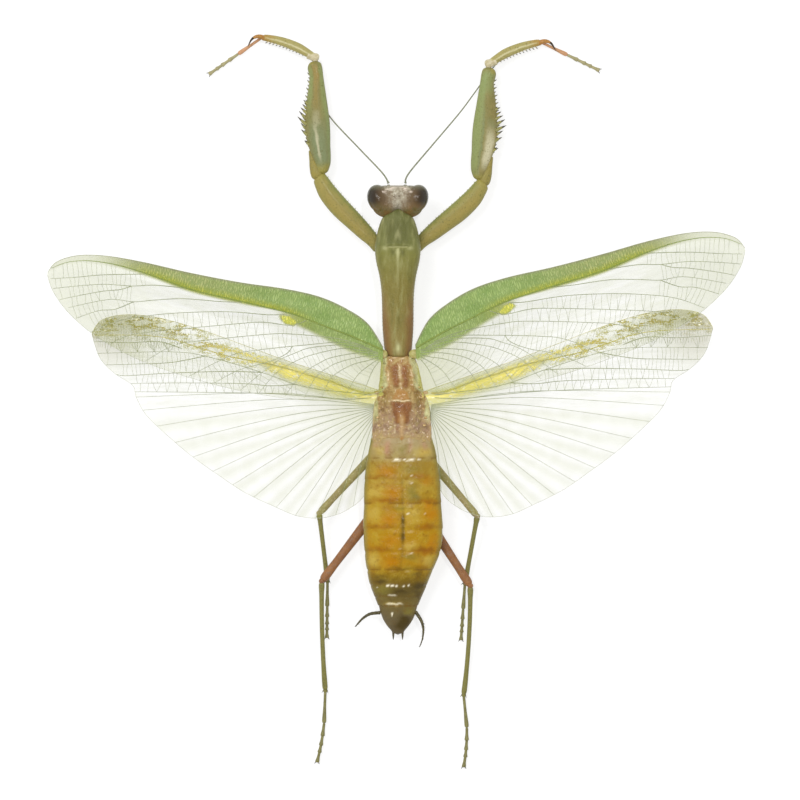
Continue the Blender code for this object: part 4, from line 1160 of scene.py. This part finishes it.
def add_head():
    """The head capsule with its face shield, the eyes, ocelli, antennal sockets and mouthparts."""
    middle = profile(SWAY, HEAD_MIDDLE)
    widths, depths, aheads = (column(HEAD_LEVELS, k) for k in (1, 2, 3))
    low, high = HEAD_LEVELS[0][0], HEAD_LEVELS[-1][0]

    def place(u, v):
        z = low + (high - low) * v
        ahead = upward(u)
        power = 2.6 if ahead < 0 else 3.0 + 1.5 * step(4.6, 5.6, z)
        x = boxed(sideward(u), power) * profile(widths, z)
        y = boxed(ahead, power) * profile(depths, z)
        if ahead < 0:
            y *= 1 - 0.55 * hump(x, 1.1) * step(4.5, 6.0, z)
        face = step(0.2, 0.8, ahead)
        shield = lobe(x, z, 0.0, 1.25, 5.0, 3.7, 0.25)
        y += face * (0.12 * shield - 0.1 * hump(z - 3.55, 0.12) - 0.12)
        top = step(6.6, 7.6, z)
        share = dome(v, 0.05, 0.06)
        x *= share
        y = y * share + HEAD_MIDDLE + profile(aheads, z)
        z -= 0.14 * top * (hump(abs(x) - 0.75, 0.16) + hump(abs(x) - 1.5, 0.16))
        z -= 0.8 * step(4.8, 6.6, z) * step(HEAD_MIDDLE - 1.0, HEAD_MIDDLE - 2.4, y)
        z += 0.08 * grain((x, y, z), 0.5)
        return Vector((x + middle, y, z))

    def vertex(u, v, point):
        wide = 1.1 * step(31.6, 33.4, point.y) - 0.3
        off = abs(point.x - middle) - wide + 0.7 * grain(point, 0.9)
        return step(2.2, 0.3, off) * step(29.8, 30.8, point.y)

    # Painted glints: pale pink arcs along the front of the head, laid on as colour.
    def painted_glint_arc(u, v, point):
        x = abs(point.x - middle)
        line = hump(point.y - 33.3 + 0.4 * (x - 1.0), 0.2) * between(x, 0.6, 1.0, 2.2, 2.8)
        return 0.95 * line * step(-0.3, 0.15, grain(point, 0.45)) * step(5.4, 6.2, point.z)

    capsule = give(barrel("head", 96, 90, place, {"vertex": vertex, "painted_glint_arc": painted_glint_arc}), MATERIALS["head"])
    details = []
    for x, y, z in OCELLI:
        ocellus = ball("ocellus", (x + middle, y, z), (0.13, 0.13, 0.16), 16, 10)
        details.append(give(ocellus, MATERIALS["ocellus"]))
    for side in SIDES:
        x, y, z = ANTENNA_LINE[side][0]
        socket = ball("socket", (x * side_sign(side), y - 0.5, z), (0.38, 0.3, 0.38))
        details.append(give(socket, MATERIALS["head"]))
        jaw = ball("mandible", (middle + 0.62 * side_sign(side), 32.5, 1.3), (0.42, 0.5, 0.72))
        details.append(give(jaw, MATERIALS["dark_tip"]))
        lines = []
        for palp in PALPS:
            line = smooth_line([beside(p, side) for p in palp], 17)
            lines.append([(p, 0.13 + 0.03 * math.cos(k * math.pi / 2)) for k, p in enumerate(line)])
        details.append(give(strands("palps", lines, 2), MATERIALS["neck"]))
    lip = ball("lip", (middle, 32.95, 1.25), (0.62, 0.28, 0.6))
    details.append(give(lip, MATERIALS["neck"]))
    finish_piece(joined("head_capsule", [capsule, *details]), "head_shell", "head")
    for side in SIDES:
        turn = EYE_TURN * side_sign(side)
        eye = ball(f"eye_{side}_lens", beside(EYE_CENTRE, side), EYE_HALF_SIZE, 56, 40, turn)
        finish_piece(give(eye, MATERIALS["eye"]), "eye_shell", f"eye_{side}")


def add_neck():
    """The soft neck skin, folded like a concertina between the head and the shield."""
    def place(u, v):
        radius = (1.35 + 0.1 * math.cos(v * 8 * math.pi)) * dome(v, 0.1, 0.1)
        x = sideward(u) * radius + profile(SWAY, NECK_MIDDLE)
        return Vector((x, NECK_BACK + NECK_LENGTH * v, NECK_HEIGHT + upward(u) * radius))

    skin = give(barrel("neck", 48, 60, place), MATERIALS["neck"])
    finish_piece(skin, "head_shell", "neck")


# Feelers


def add_antenna(side):
    """A stout first joint, a short second one, and a long thread of narrow rings."""
    points = [Vector((x * side_sign(side), y, z)) for x, y, z in ANTENNA_LINE[side]]
    line = smooth_line(points, 260)
    rings = []
    for k, point in enumerate(line):
        share = k / (len(line) - 1)
        thread = 0.125 - 0.045 * share + 0.014 * (k % 3 == 1)
        radius = 0.2 if share < 0.03 else 0.15 if 0.036 < share < 0.05 else thread
        rings.append((point, radius))
    antenna = give(strands(f"antenna_{side}_thread", [rings], 1), MATERIALS["antenna"])
    finish_piece(antenna, "feeler_shell", f"antenna_{side}")


def add_cercus(side):
    """A tapered tail feeler of a dozen beads, with fine hairs."""
    points = [Vector((x * side_sign(side), y, z)) for x, y, z in CERCUS_LINE[side]]
    line = smooth_line(points, 96)
    rings, hairs = [], []
    chance = random.Random(11)
    for k, point in enumerate(line):
        share = k / (len(line) - 1)
        bead = 0.9 + 0.1 * abs(math.sin(share * 12 * math.pi))
        radius = (0.29 - 0.23 * share**1.3) * bead * dome(share, 0.01, 0.02)
        rings.append((point, max(radius, 0.02)))
        if k % 2 == 0 and k < 92:
            ahead = (line[k + 1] - point).normalized()
            spin = chance.uniform(0, 2 * math.pi)
            out = Vector((math.cos(spin), 0.2, math.sin(spin)))
            tip = point + (out * 0.75 + ahead * 0.5).normalized() * (radius + 0.25)
            hairs.append([(point, 0.015), (tip, 0.006)])
    body = give(strands("cercus", [rings], 2), MATERIALS["cercus"])
    fuzz = give(strands("hairs", hairs, 0), MATERIALS["dark_tip"])
    finish_piece(joined(f"cercus_{side}_beads", [body, fuzz]), "tip_shell", f"cercus_{side}")


# Wings


def lay_wing(pair, side, flat_place, lift=0.0):
    """Where a point of the flat wing, as (outward, forward) from its hinge, lies in space."""
    wing = WINGS[pair]
    hinge = wing["hinge"][side]
    root = beside(hinge, side)
    out = flat_place[0] / wing["leading"][-1][0]
    bow = wing["bow"][side] * 4 * out * (1 - out)
    turn = Matrix.Rotation(math.radians(wing["spread"][side]), 2)
    flat = turn @ Vector((flat_place[0] * WING_FIT, flat_place[1] - bow))
    height = wing["level"] + WING_RISE * (hinge[0] + flat.x) - wing["droop"] * max(-flat.y, 0.0)
    point = Vector((root.x + flat.x * side_sign(side), root.y + flat.y, height + lift))
    inner = ABDOMEN_WIDTH[4:-1] + THORAX_WIDTH[:3]
    if point.y < inner[-1][0]:
        closest = beside((profile(inner, point.y) - WING_TUCK, point.y), side).x
        point.x = side_sign(side) * max(point.x * side_sign(side), closest * side_sign(side))
    return point


def fan_share(flat_place):
    """How far round the fan a place lies, counted in veins from its first."""
    x, y = flat_place
    angle = math.degrees(math.atan2(-(y - FAN_HEAD[1]), max(x - FAN_HEAD[0] + 0.8, 0.01)))
    return (angle - 2.0) / 86.0 * FAN_VEINS


def corrugation(pair, flat_place):
    """The height of the wing's pleats, which rise at its veins."""
    x, y = flat_place
    if pair == "fore":
        return 0.05 * math.sin(y * 2.4 + x * 0.3)
    fan = step(0.3, -1.5, y - FAN_HEAD[1]) * step(1.5, 9.0, math.hypot(x, y - FAN_HEAD[1]))
    return 0.12 * fan * math.cos(2 * math.pi * fan_share(flat_place)) + 0.04 * math.sin(y * 2.6) * (1 - fan)


def vein_runs(pair):
    """The long veins of a wing as smooth flat lines, from front to back."""
    runs = [smooth_line(points, 40) for points in (FOREWING_VEINS if pair == "fore" else HINDWING_VEINS)]
    if pair == "hind":
        trailing = WINGS["hind"]["trailing"]
        for k in range(FAN_VEINS):
            share = k / (FAN_VEINS - 1)
            start = Vector(FAN_HEAD).lerp(Vector(FAN_FOOT), share)
            end = on_line(trailing, FAN_SHARES[0] + (FAN_SHARES[1] - FAN_SHARES[0]) * share)
            reach = (end - start).length
            way = (end - start).normalized()
            bend = Vector((-way.y, way.x)) * reach * 0.035
            runs.append(smooth_line([start, start.lerp(end, 0.4) + bend, end], 40))
    return runs


def nearest(point, line):
    return min(line, key=lambda place: (place - point).length_squared)


def cross_veins(runs, gap, longest, chance):
    """Short veins between each long vein and the next, about square to them."""
    found = []
    for first, second in zip(runs, runs[1:]):
        for point in spaced(first, gap):
            other = nearest(point, second)
            length = (other - point).length
            at_end = other == second[0] or other == second[-1]
            if 0.25 < length < longest and not at_end and chance.random() < 0.93:
                middle = point.lerp(other, 0.5) + Vector((chance.uniform(-0.1, 0.1), 0))
                found.append([point, middle, other])
    return found


def flat_wing(pair, u, v):
    """A place on the flat wing, as (outward, forward): u runs to the tip, and v from front to back."""
    return on_line(WINGS[pair]["leading"], u).lerp(on_line(WINGS[pair]["trailing"], u), v)


def behind_edge(pair, x, y):
    """How far behind the wing's front edge a place lies."""
    return profile(WINGS[pair]["leading"][:-1], x) - y


def off_band(x, y):
    """How far ahead of the golden band's middle a place on the hindwing lies."""
    return y - profile(HINDWING_RADIUS_VEIN, x) + 0.6 - 1.1 * step(11.0, 21.0, x)


def root_tint(x, y, point):
    return step(13.0, 1.0, math.hypot(x, (y + 2.0) * 0.8))


def green_field(x, y, point):
    """The green field ahead of the forewing's radius vein, with the yellow spot behind it."""
    soft = 0.1 + 0.5 * step(14.0, 24.0, x)
    field = step(-soft, 0.08, y - profile(FOREWING_RADIUS_VEIN, x))
    flush = step(-0.5, 0.4, y - profile(GREEN_EDGE, x)) * step(19.0, 13.0, x) * 0.85
    return max(field * (1 - 0.9 * step(34.0, 49.0, x)), flush, yellow_spot(x, y, point))


def yellow_spot(x, y, point):
    x, y = x - STIGMA_CENTRE[0], y - STIGMA_CENTRE[1]
    return step(1.15, 0.7, math.hypot((x - y * 0.8) / 1.25, y / 0.75) + 0.25 * grain(point, 0.5))


def grey_front(x, y, point):
    return 0.5 * step(0.42, 0.1, behind_edge("fore", x, y) + 0.12 * grain((x, 0, 1), 0.35))


def lime_rear(x, y, point):
    depth = y - profile(FOREWING_RADIUS_VEIN, x)
    return step(1.3, 0.1, depth) * step(9.0, 17.0, x) * (1 - 0.5 * step(36.0, 46.0, x))


def golden_front(x, y):
    return step(3.0, 1.8, behind_edge("hind", x, y)) * step(22.0, 30.0, x)


def flake_band(x, y, point):
    """Where the hindwing's film may break into golden flakes."""
    strip = hump(off_band(x, y) ** 2, 1.7) * step(5.0, 12.0, x) * (1 - 0.6 * step(26.0, 34.0, x))
    return max(strip, golden_front(x, y))


def golden_line(x, y, point):
    """Where the hindwing's film is golden all over."""
    ahead = off_band(x, y)
    wide = 0.45 + 0.8 * step(0.0, 6.0, x) - 0.8 * step(12.0, 22.0, x)
    core = hump(ahead, wide) * (0.95 - 0.8 * step(13.0, 22.0, x))
    glow = 0.5 * between(ahead, -2.2, -0.4, 0.4, 1.6) * step(11.0, 1.0, x)
    return max(core, glow, 0.25 * golden_front(x, y) * step(28.0, 36.0, x))


# Painted shade of the fan's folds: highest in the hollows between its veins, where it makes the film more
# opaque.
def fan_fold_shade(x, y, point):
    return 0.5 - 0.35 * math.cos(2 * math.pi * fan_share((x, y))) + 0.3 * grain(point, 1.6)


# What the film shows at a place on the flat wing.
SHARED_MARKS = {"out": lambda x, y, point: x, "ahead": lambda x, y, point: y, "root": root_tint}
WING_MARKS = {
    "fore": {
        **SHARED_MARKS,
        "costal": green_field,
        "spot": yellow_spot,
        "front": grey_front,
        "rear": lime_rear,
        "outer": lambda x, y, point: step(14.0, 34.0, x),
        "tip": lambda x, y, point: step(30.0, 50.0, x),
    },
    "hind": {
        **SHARED_MARKS,
        "span": lambda x, y, point: x / WINGS["hind"]["leading"][-1][0],
        "band": flake_band,
        "line": golden_line,
        "fan": lambda x, y, point: step(0.3, -1.5, y - FAN_HEAD[1]),
        "fold_shade": fan_fold_shade,
        "tip": lambda x, y, point: 0.9 * step(30.0, 41.0, x) * step(1.0, 8.5, y),
    },
}


def add_wing(pair, side):
    """Film, long veins and cross veins of one wing."""
    def laid(flat_place, lift=0.02):
        return lay_wing(pair, side, flat_place, corrugation(pair, flat_place) + lift)

    def place(u, v):
        return laid(flat_wing(pair, u, v), 0.0)

    def mark(rule):
        return lambda u, v, point: rule(*flat_wing(pair, u, v), point)

    marks = {name: mark(rule) for name, rule in WING_MARKS[pair].items()}
    film = shaped_grid(f"{pair}wing_film", 230, 110, place, marks)
    apply_modifier(film, "SOLIDIFY", thickness=FILM_THICKNESS, offset=0.0)
    pieces = [give(film, MATERIALS[f"{pair}wing"])]

    wing = WINGS[pair]
    runs = vein_runs(pair)
    main = len(FOREWING_VEINS if pair == "fore" else HINDWING_VEINS)
    long = []
    for number, run in enumerate(runs):
        taper = 0.8 if number == 0 else 0.5
        radius = STRONG_VEIN if number == 0 else MAIN_VEIN if number < main else FAN_VEIN
        long.append([(laid(p), radius * (1 - taper * k / (len(run) - 1))) for k, p in enumerate(run)])
    edge = smooth_line(wing["leading"], 70)
    rim = [(laid(p), wing["rim"] * (1 - 0.5 * k / (len(edge) - 1))) for k, p in enumerate(edge)]
    if pair == "fore":
        crossings = cross_veins(runs, 0.72, 4.2, random.Random(5))
    else:
        chance = random.Random(8)
        apex = [smooth_line(points, 40) for points in APEX_VEINS]
        crossings = cross_veins(runs[:main], 0.62, 4.5, chance) + cross_veins(apex, 0.4, 2.2, chance)
    fine = [[(laid(p), TRAILING_EDGE) for p in smooth_line(wing["trailing"], 110)]]
    fine += [[(laid(p), CROSS_VEIN) for p in crossing] for crossing in crossings]
    for name, lines, roundness, kind in (
        ("strong_veins", long[:1], 1, f"{pair}wing_vein"), ("rim", [rim], 0, f"{pair}wing_rim"),
        ("long_veins", long[1:], 0, "long_vein"), ("cross_veins", fine, 0, "fine_vein"),
    ):
        pieces.append(give(strands(name, lines, roundness), MATERIALS[kind]))
    finish_piece(joined(f"{pair}wing_{side}_sheet", pieces), f"{pair}wing_film", f"{pair}wing_{side}")


# Legs


def leg_joints(pair, side):
    """The places of a leg's joints, each under the name of the segment that ends there."""
    leg = LEGS[pair]
    place = beside(leg["base"], side)
    joints = {"base": place}
    for (segment, length), bearing, height in zip(leg["lengths"].items(), leg[side], leg["heights"]):
        angle = math.radians(bearing)
        drop = height - place.z
        run = math.sqrt(max(length**2 - drop**2, 0.0))
        place = place + Vector((math.sin(angle) * side_sign(side) * run, math.cos(angle) * run, drop))
        joints[segment] = place
    return joints


def limb(name, start, end, shape, material, bow=0.0, around=28, along=48, ends=(0.03, 0.03), marks=None):
    """A leg segment from joint to joint, in one of the shapes above, whose shift is to the right here."""
    axis, right = heading(start, end)
    up = right.cross(axis)
    reach = (end - start).length
    wide, high, shift = (column(shape, k) for k in (1, 2, 3))

    def place(u, v):
        t = v + 0.06 * math.sin(2 * math.pi * (v - 0.5)) if 0 < v < 1 else v
        round_off = dome(t, *ends)
        x = sideward(u) * profile(wide, t) * round_off + profile(shift, t) - bow * 4 * t * (1 - t)
        z = upward(u) * profile(high, t) * round_off
        point = start + axis * (reach * t) + right * x + up * z
        point.z = max(point.z, 0.0)
        return point

    return give(barrel(name, around, along, place, marks), material)


def limb_marks(table, out):
    """Marks for the upper side of a leg segment, from a table of soft patches."""
    def mark(patches):
        def work_out(u, v, point):
            across = sideward(u) * out + 0.12 * grain(point, 0.9)
            along = v + 0.02 * grain(point, 1.1, 4.0)
            return stained(across, along, patches, 2) * on_top(u, 0.4)
        return work_out
    return {name: mark(patches) for name, patches in table.items()}


def thorns(foot, way, reach, radius):
    """A curved thorn as two strands: its stout root and its sharp tip."""
    side = way.cross(UP).normalized() * 0.12 * reach
    waist = (foot + way * reach * 0.55 + side * 0.4, radius * 0.55)
    root = [(foot - way * 0.15, radius), (foot + way * reach * 0.3, radius * 0.8), waist]
    tip = [waist, (foot + way * reach * 0.8 + side * 0.7, radius * 0.3), (foot + way * reach + side, 0.012)]
    return root, tip


def claws(toe, axis, right):
    """The two small claws at the end of a foot."""
    lines = []
    for out in (1, -1):
        root = toe - axis * 0.25 + right * 0.1 * out
        lines.append([
            (root, 0.09),
            (root + axis * 0.3 + right * 0.14 * out + UP * 0.06, 0.07),
            (root + axis * 0.5 + right * 0.26 * out - UP * 0.02, 0.045),
            (root + axis * 0.52 + right * 0.3 * out - UP * 0.12, 0.015),
        ])
    return give(strands("claws", above_ground(lines), 1), MATERIALS["dark_tip"])


def tarsus(start, end, bow, first, others):
    """The pieces of a foot: five joints, each swelling to its end, and a pair of claws."""
    axis, right = heading(start, end)
    end = end - axis * CLAW_REACH
    pieces, begin = [], 0.0
    for stop in TARSOMERES:
        low, high = (start.lerp(end, s) - right * bow * 4 * s * (1 - s) for s in (begin, stop))
        material = MATERIALS[others if pieces else first]
        pieces.append(limb("joint", low, high + axis * 0.08, TARSOMERE, material, 0.0, 14, 26, (0.06, 0.06)))
        begin = stop
    return [*pieces, claws(end, axis, right)]


def knee(place, size, material):
    return give(ball("knee", place, (size, size, size * 0.9), 20, 12), material)


def add_segment(name, *pieces, slot="leg_shell"):
    """Joins the pieces of a leg's segment and sets them in place of its node."""
    finish_piece(joined(f"{name}_shell", pieces), slot, name)


def add_walking_leg(pair, side):
    """A mid or hind leg: coxa, femur, tibia with its spurs, and the foot."""
    joints = leg_joints(pair, side)
    bows = [bow * side_sign(side) for bow in BOWS.get((pair, side), (0.0, 0.0))]
    thigh, shin = MATERIALS[f"{pair}_femur"], MATERIALS["shin"]
    hip = limb("coxa", joints["base"], joints["coxa"], WALKING_COXA, thigh, ends=(0.05, 0.05))
    add_segment(f"{pair}_coxa_{side}", hip)

    shape = [(share, wide * FEMUR_STOUTNESS[pair], high, shift) for share, wide, high, shift in WALKING_FEMUR]
    upper = limb("femur", joints["coxa"], joints["femur"], shape, thigh, along=70)
    slot = "red_shell" if pair == "hind" else "leg_shell"
    add_segment(f"{pair}_femur_{side}", upper, knee(joints["femur"], 0.46, thigh), slot=slot)

    lower = limb("tibia", joints["femur"], joints["tibia"], WALKING_TIBIA, shin, bow=bows[0], along=80)
    axis, right = heading(joints["femur"], joints["tibia"])
    spurs = []
    for out in (1, -1):
        way = (axis + right * 0.45 * out).normalized()
        spurs += thorns(joints["tibia"] - axis * 0.3 + right * 0.2 * out, way, 0.75, 0.09)
    spurs = give(strands("spurs", above_ground(spurs), 1), MATERIALS["dark_tip"])
    add_segment(f"{pair}_tibia_{side}", lower, knee(joints["tibia"], 0.33, shin), spurs)
    add_segment(f"{pair}_tarsus_{side}", *tarsus(joints["tibia"], joints["tarsus"], bows[1], "foot", "foot"))


def row_of_thorns(start, end, shape, out, places, lean=0.45, low=0.0):
    """Thorns along the outer edge of a segment. places lists (share of the length, reach, radius)."""
    axis, right = heading(start, end)
    outward = right * out
    edge = [(share, width + shift * out) for share, width, _, shift in shape]
    lines = []
    for share, reach, radius in places:
        foot = start.lerp(end, share) + outward * (profile(edge, share) - 0.14) + UP * low
        lines += thorns(foot, (outward + axis * lean).normalized(), reach, radius)
    return lines


def add_armed_segment(name, segment, lines, root_material, *pieces):
    """A segment with its thorns, whose roots are given their material and whose tips are dark."""
    roots = give(strands("thorn_roots", lines[0::2], 1), MATERIALS[root_material])
    tips = give(strands("thorn_tips", lines[1::2], 1), MATERIALS["spine"])
    add_segment(name, segment, roots, tips, *pieces)


def add_fore_leg(side):
    """The raptorial leg: toothed coxa, deep thorny femur, thorny tibia with its hook, and thin foot."""
    joints = leg_joints("fore", side)
    out = side_sign(side)

    def turned(shape):
        return [(share, wide, high, shift * out) for share, wide, high, shift in shape]

    coxa, femur, tibia = turned(FORE_COXA), turned(FORE_FEMUR), turned(FORE_TIBIA)
    axis, _ = heading(joints["base"], joints["coxa"])
    start, end = joints["base"] - axis * 1.6 - UP * 0.1, joints["coxa"] + axis * 0.45
    marks = limb_marks(COXA_MARKS, out)
    hip = limb("coxa", start, end, coxa, MATERIALS["fore_coxa"], around=40, along=80, marks=marks)
    places = [(0.16 + 0.036 * k, 0.26 + 0.1 * (k % 3 == 0), 0.1) for k in range(22)]
    teeth = give(strands("teeth", row_of_thorns(start, end, coxa, -out, places), 1), MATERIALS["coxa_tooth"])
    add_segment(f"fore_coxa_{side}", hip, teeth)

    axis, right = heading(joints["trochanter"], joints["femur"])
    low = joints["trochanter"] + right * 0.3 * out - axis * 1.75
    top = joints["trochanter"] + right * 1.55 * out + axis * 3.0 - UP * 0.15
    ring = limb("ring", low, top, FORE_TROCHANTER, MATERIALS["fore_trochanter"], 0.0, 32, 50, (0.16, 0.04))
    add_segment(f"fore_trochanter_{side}", ring)

    start, end = joints["trochanter"] - axis * 0.85, joints["femur"] - axis * 0.5
    marks = limb_marks(FEMUR_MARKS[side], out)
    thigh = limb("femur", start, end, femur, MATERIALS["fore_femur"], around=64, along=150, marks=marks)
    small = [(0.25 + 0.033 * k, 0.42 + 0.22 * (k % 2), 0.17) for k in range(20)]
    lines = row_of_thorns(start, end, femur, out, GREAT_THORNS, lean=0.75, low=0.3)
    lines += row_of_thorns(start, end, femur, out, small, lean=0.8, low=-0.2)
    lines += row_of_thorns(start, end, femur, out, INNER_THORNS, lean=0.9)
    axis, _ = heading(joints["femur"], joints["tibia"])
    low, top = joints["femur"] - axis * 0.6, joints["femur"] + axis * 1.3
    skin = limb("knee_skin", low, top, FORE_KNEE, MATERIALS["knee"], 0.0, 20, 24, (0.1, 0.06))
    add_armed_segment(f"fore_femur_{side}", thigh, lines, "thorn_root", skin)

    start, end = joints["femur"], joints["tibia"]
    marks = limb_marks(TIBIA_MARKS, out)
    shin = limb("tibia", start, end, tibia, MATERIALS["fore_tibia"], around=36, along=70, marks=marks)
    places = [(0.2 + 0.06 * k, 0.34 + 0.03 * k, 0.1) for k in range(12)]
    lines = row_of_thorns(start, end, tibia, out, places, lean=0.6, low=0.18)
    lines += row_of_thorns(start, end, tibia, out, places, lean=0.9, low=-0.18)
    axis, right = heading(start, end)
    hook = [end + axis * ahead + UP * up + right * bend * out for ahead, up, bend in HOOK_LINE]
    rings = [(point, 0.4 - 0.36 * (k / 19) ** 1.4) for k, point in enumerate(smooth_line(hook, 20))]
    talon = give(strands("hook", [rings[:13]], 3), MATERIALS["hook"])
    tip = give(strands("hook_tip", [rings[12:]], 3), MATERIALS["dark_tip"])
    add_armed_segment(f"fore_tibia_{side}", shin, lines, "knee", talon, tip)
    start = joints["tibia"] - UP * TARSUS_ROOT_DROP
    add_segment(f"fore_tarsus_{side}", *tarsus(start, joints["tarsus"], 0.0, "fore_foot", "fore_toe"))


# The stage


def add_stage():
    """A glowing white sheet, a white sky that dims overhead, a soft lamp, two small ones, and the camera."""
    deselect()
    bpy.ops.mesh.primitive_plane_add(size=1.6, location=(0, 0, -0.0002))
    sheet = bpy.context.object
    sheet.name = "white_sheet"
    paper = bpy.data.materials.new("backlit_matt_paper")
    paper.use_nodes = True
    shader = paper.node_tree.nodes["Principled BSDF"]
    shader.inputs["Base Color"].default_value = (0.3, 0.3, 0.3, 1.0)
    shader.inputs["Roughness"].default_value = 0.95
    shader.inputs["Specular IOR Level"].default_value = 0.0
    shader.inputs["Emission Color"].default_value = (1.0, 1.0, 1.0, 1.0)
    shader.inputs["Emission Strength"].default_value = 0.7
    give(sheet, paper)

    world = bpy.data.worlds.new("white_room")
    world.use_nodes = True
    tree = world.node_tree
    way = add(tree, "ShaderNodeTexCoord").outputs["Generated"]
    height = add(tree, "ShaderNodeSeparateXYZ", {0: way}).outputs["Z"]
    links = {"Value": height, "From Min": 0.3, "From Max": 1.0, "To Min": 1.0, "To Max": 0.2}
    bright = add(tree, "ShaderNodeMapRange", links).outputs["Result"]
    tree.links.new(bright, tree.nodes["Background"].inputs["Strength"])
    tree.nodes["Background"].inputs["Color"].default_value = (1.0, 1.0, 1.0, 1.0)
    bpy.context.scene.world = world
    lamps = [((-0.3, 0.3, 0.7), 0.3, 3.2), ((0.12, 0.2, 0.75), 0.03, 1.6), ((-0.05, -0.1, 0.8), 0.03, 1.0)]
    for number, (place, size, power) in enumerate(lamps):
        light = bpy.data.lights.new(f"soft_lamp_{number}", "AREA")
        light.size = size
        light.energy = power
        lamp = bpy.data.objects.new(light.name, light)
        lamp.location = place
        lamp.rotation_mode = "QUATERNION"
        lamp.rotation_quaternion = Vector(place).to_track_quat("Z", "Y")
        bpy.context.scene.collection.objects.link(lamp)

    lens = bpy.data.cameras.new("camera")
    lens.lens = 400.0
    lens.sensor_width = 36.0
    lens.clip_start = 0.1
    lens.clip_end = 10.0
    camera = bpy.data.objects.new("camera", lens)
    view_width = 0.12416
    camera.location = (0.00023, 0.00054, view_width * lens.lens / lens.sensor_width + 0.004)
    bpy.context.scene.collection.objects.link(camera)
    bpy.context.scene.camera = camera
    bpy.context.scene.view_settings.view_transform = "Standard"


MATERIALS = {
    "pronotum": pronotum_material(),
    "thorax": thorax_material(),
    "knob": plain_chitin("amber_chitin_knob", "a07f4c", 0.2, "c9b283", 0.4),
    "wing_root": plain_chitin("olive_wing_root_skin", "96904c", 0.3, "b5ad78", 0.6),
    "abdomen": abdomen_material(),
    "head": head_material(),
    "eye": eye_material(),
    "ocellus": plain_chitin("glassy_ocellus", "5e5240", 0.1),
    "neck": plain_chitin("soft_neck_skin", "7d6540", 0.5, "665330"),
    "antenna": plain_chitin("ringed_chitin_thread", "72755f", 0.5, "85886f"),
    "cercus": plain_chitin("olive_chitin_feeler", "423c26", 0.35, "5b5438"),
    "forewing": forewing_film(),
    "hindwing": hindwing_film(),
    "forewing_vein": plain_chitin("green_chitin_vein", "7d8a3c", 0.35, "6a7c38"),
    "hindwing_vein": plain_chitin("straw_chitin_vein", "c4b860", 0.35, "aba668"),
    "forewing_rim": plain_chitin("grey_chitin_rim", "8d906c", 0.4, "9c9e80"),
    "hindwing_rim": plain_chitin("pale_straw_chitin_rim", "cfc994", 0.4, "b3ac78", 2.0),
    "long_vein": plain_chitin("grey_green_chitin_vein", "858c6d", 0.4, "a2a788", 1.5),
    "fine_vein": plain_chitin("pale_chitin_vein", "989d84", 0.4, "b9bca6", 1.0),
    "fore_coxa": streaked_leg_material(
        "olive_chitin_coxa", "8a8448", "94884a", "75602c", "7c8142", "948242",
    ),
    "fore_trochanter": leg_material("olive_chitin_trochanter", "857c44", "8c7f3e", "6a6538"),
    "coxa_tooth": plain_chitin("green_chitin_tooth", "7f8445", 0.35),
    "fore_femur": streaked_leg_material(
        "flushed_chitin_femur", "7a7340", "837846", "bbb594", "818c56", "8f7a40",
    ),
    "fore_tibia": streaked_leg_material("straw_chitin_tibia", "9c9258", "98905a", "c4bd94", "a08040"),
    "knee": plain_chitin("pale_joint_skin", "bfb698", 0.4, "a59a74"),
    "thorn_root": plain_chitin("yellow_chitin_thorn", "8a8548", 0.35, "75733f"),
    "spine": plain_chitin("brown_chitin_spine", "453f28", 0.35, "322b1c"),
    "hook": plain_chitin("amber_chitin_hook", "a5743a", 0.3, "8f6a34"),
    "fore_foot": plain_chitin("pink_chitin_foot", "b88a66", 0.4, "a87f58"),
    "fore_toe": plain_chitin("pale_chitin_toe", "9c946c", 0.4, "8a8460"),
    # the mid legs' pale specks are painted glints of the wing film that lies over them
    "mid_femur": leg_material("glint_speckled_chitin_femur", "97885e", "847852", "c2b99a"),
    "hind_femur": leg_material("red_chitin_femur", "8f633a", "7b5334", "7c6656"),
    "shin": leg_material("olive_chitin_shin", "736f3a", "787340", "55502c"),
    "foot": plain_chitin("olive_chitin_foot", "7b774a", 0.4, "67623c"),
    "dark_tip": plain_chitin("dark_chitin_tip", "3f3222", 0.35, "2c2218"),
}

add_pronotum()
add_thorax()
add_abdomen()
add_head()
add_neck()
for side in SIDES:
    add_antenna(side)
    add_cercus(side)
    add_fore_leg(side)
    for pair in ("mid", "hind"):
        add_walking_leg(pair, side)
    for pair in ("fore", "hind"):
        add_wing(pair, side)
add_stage()
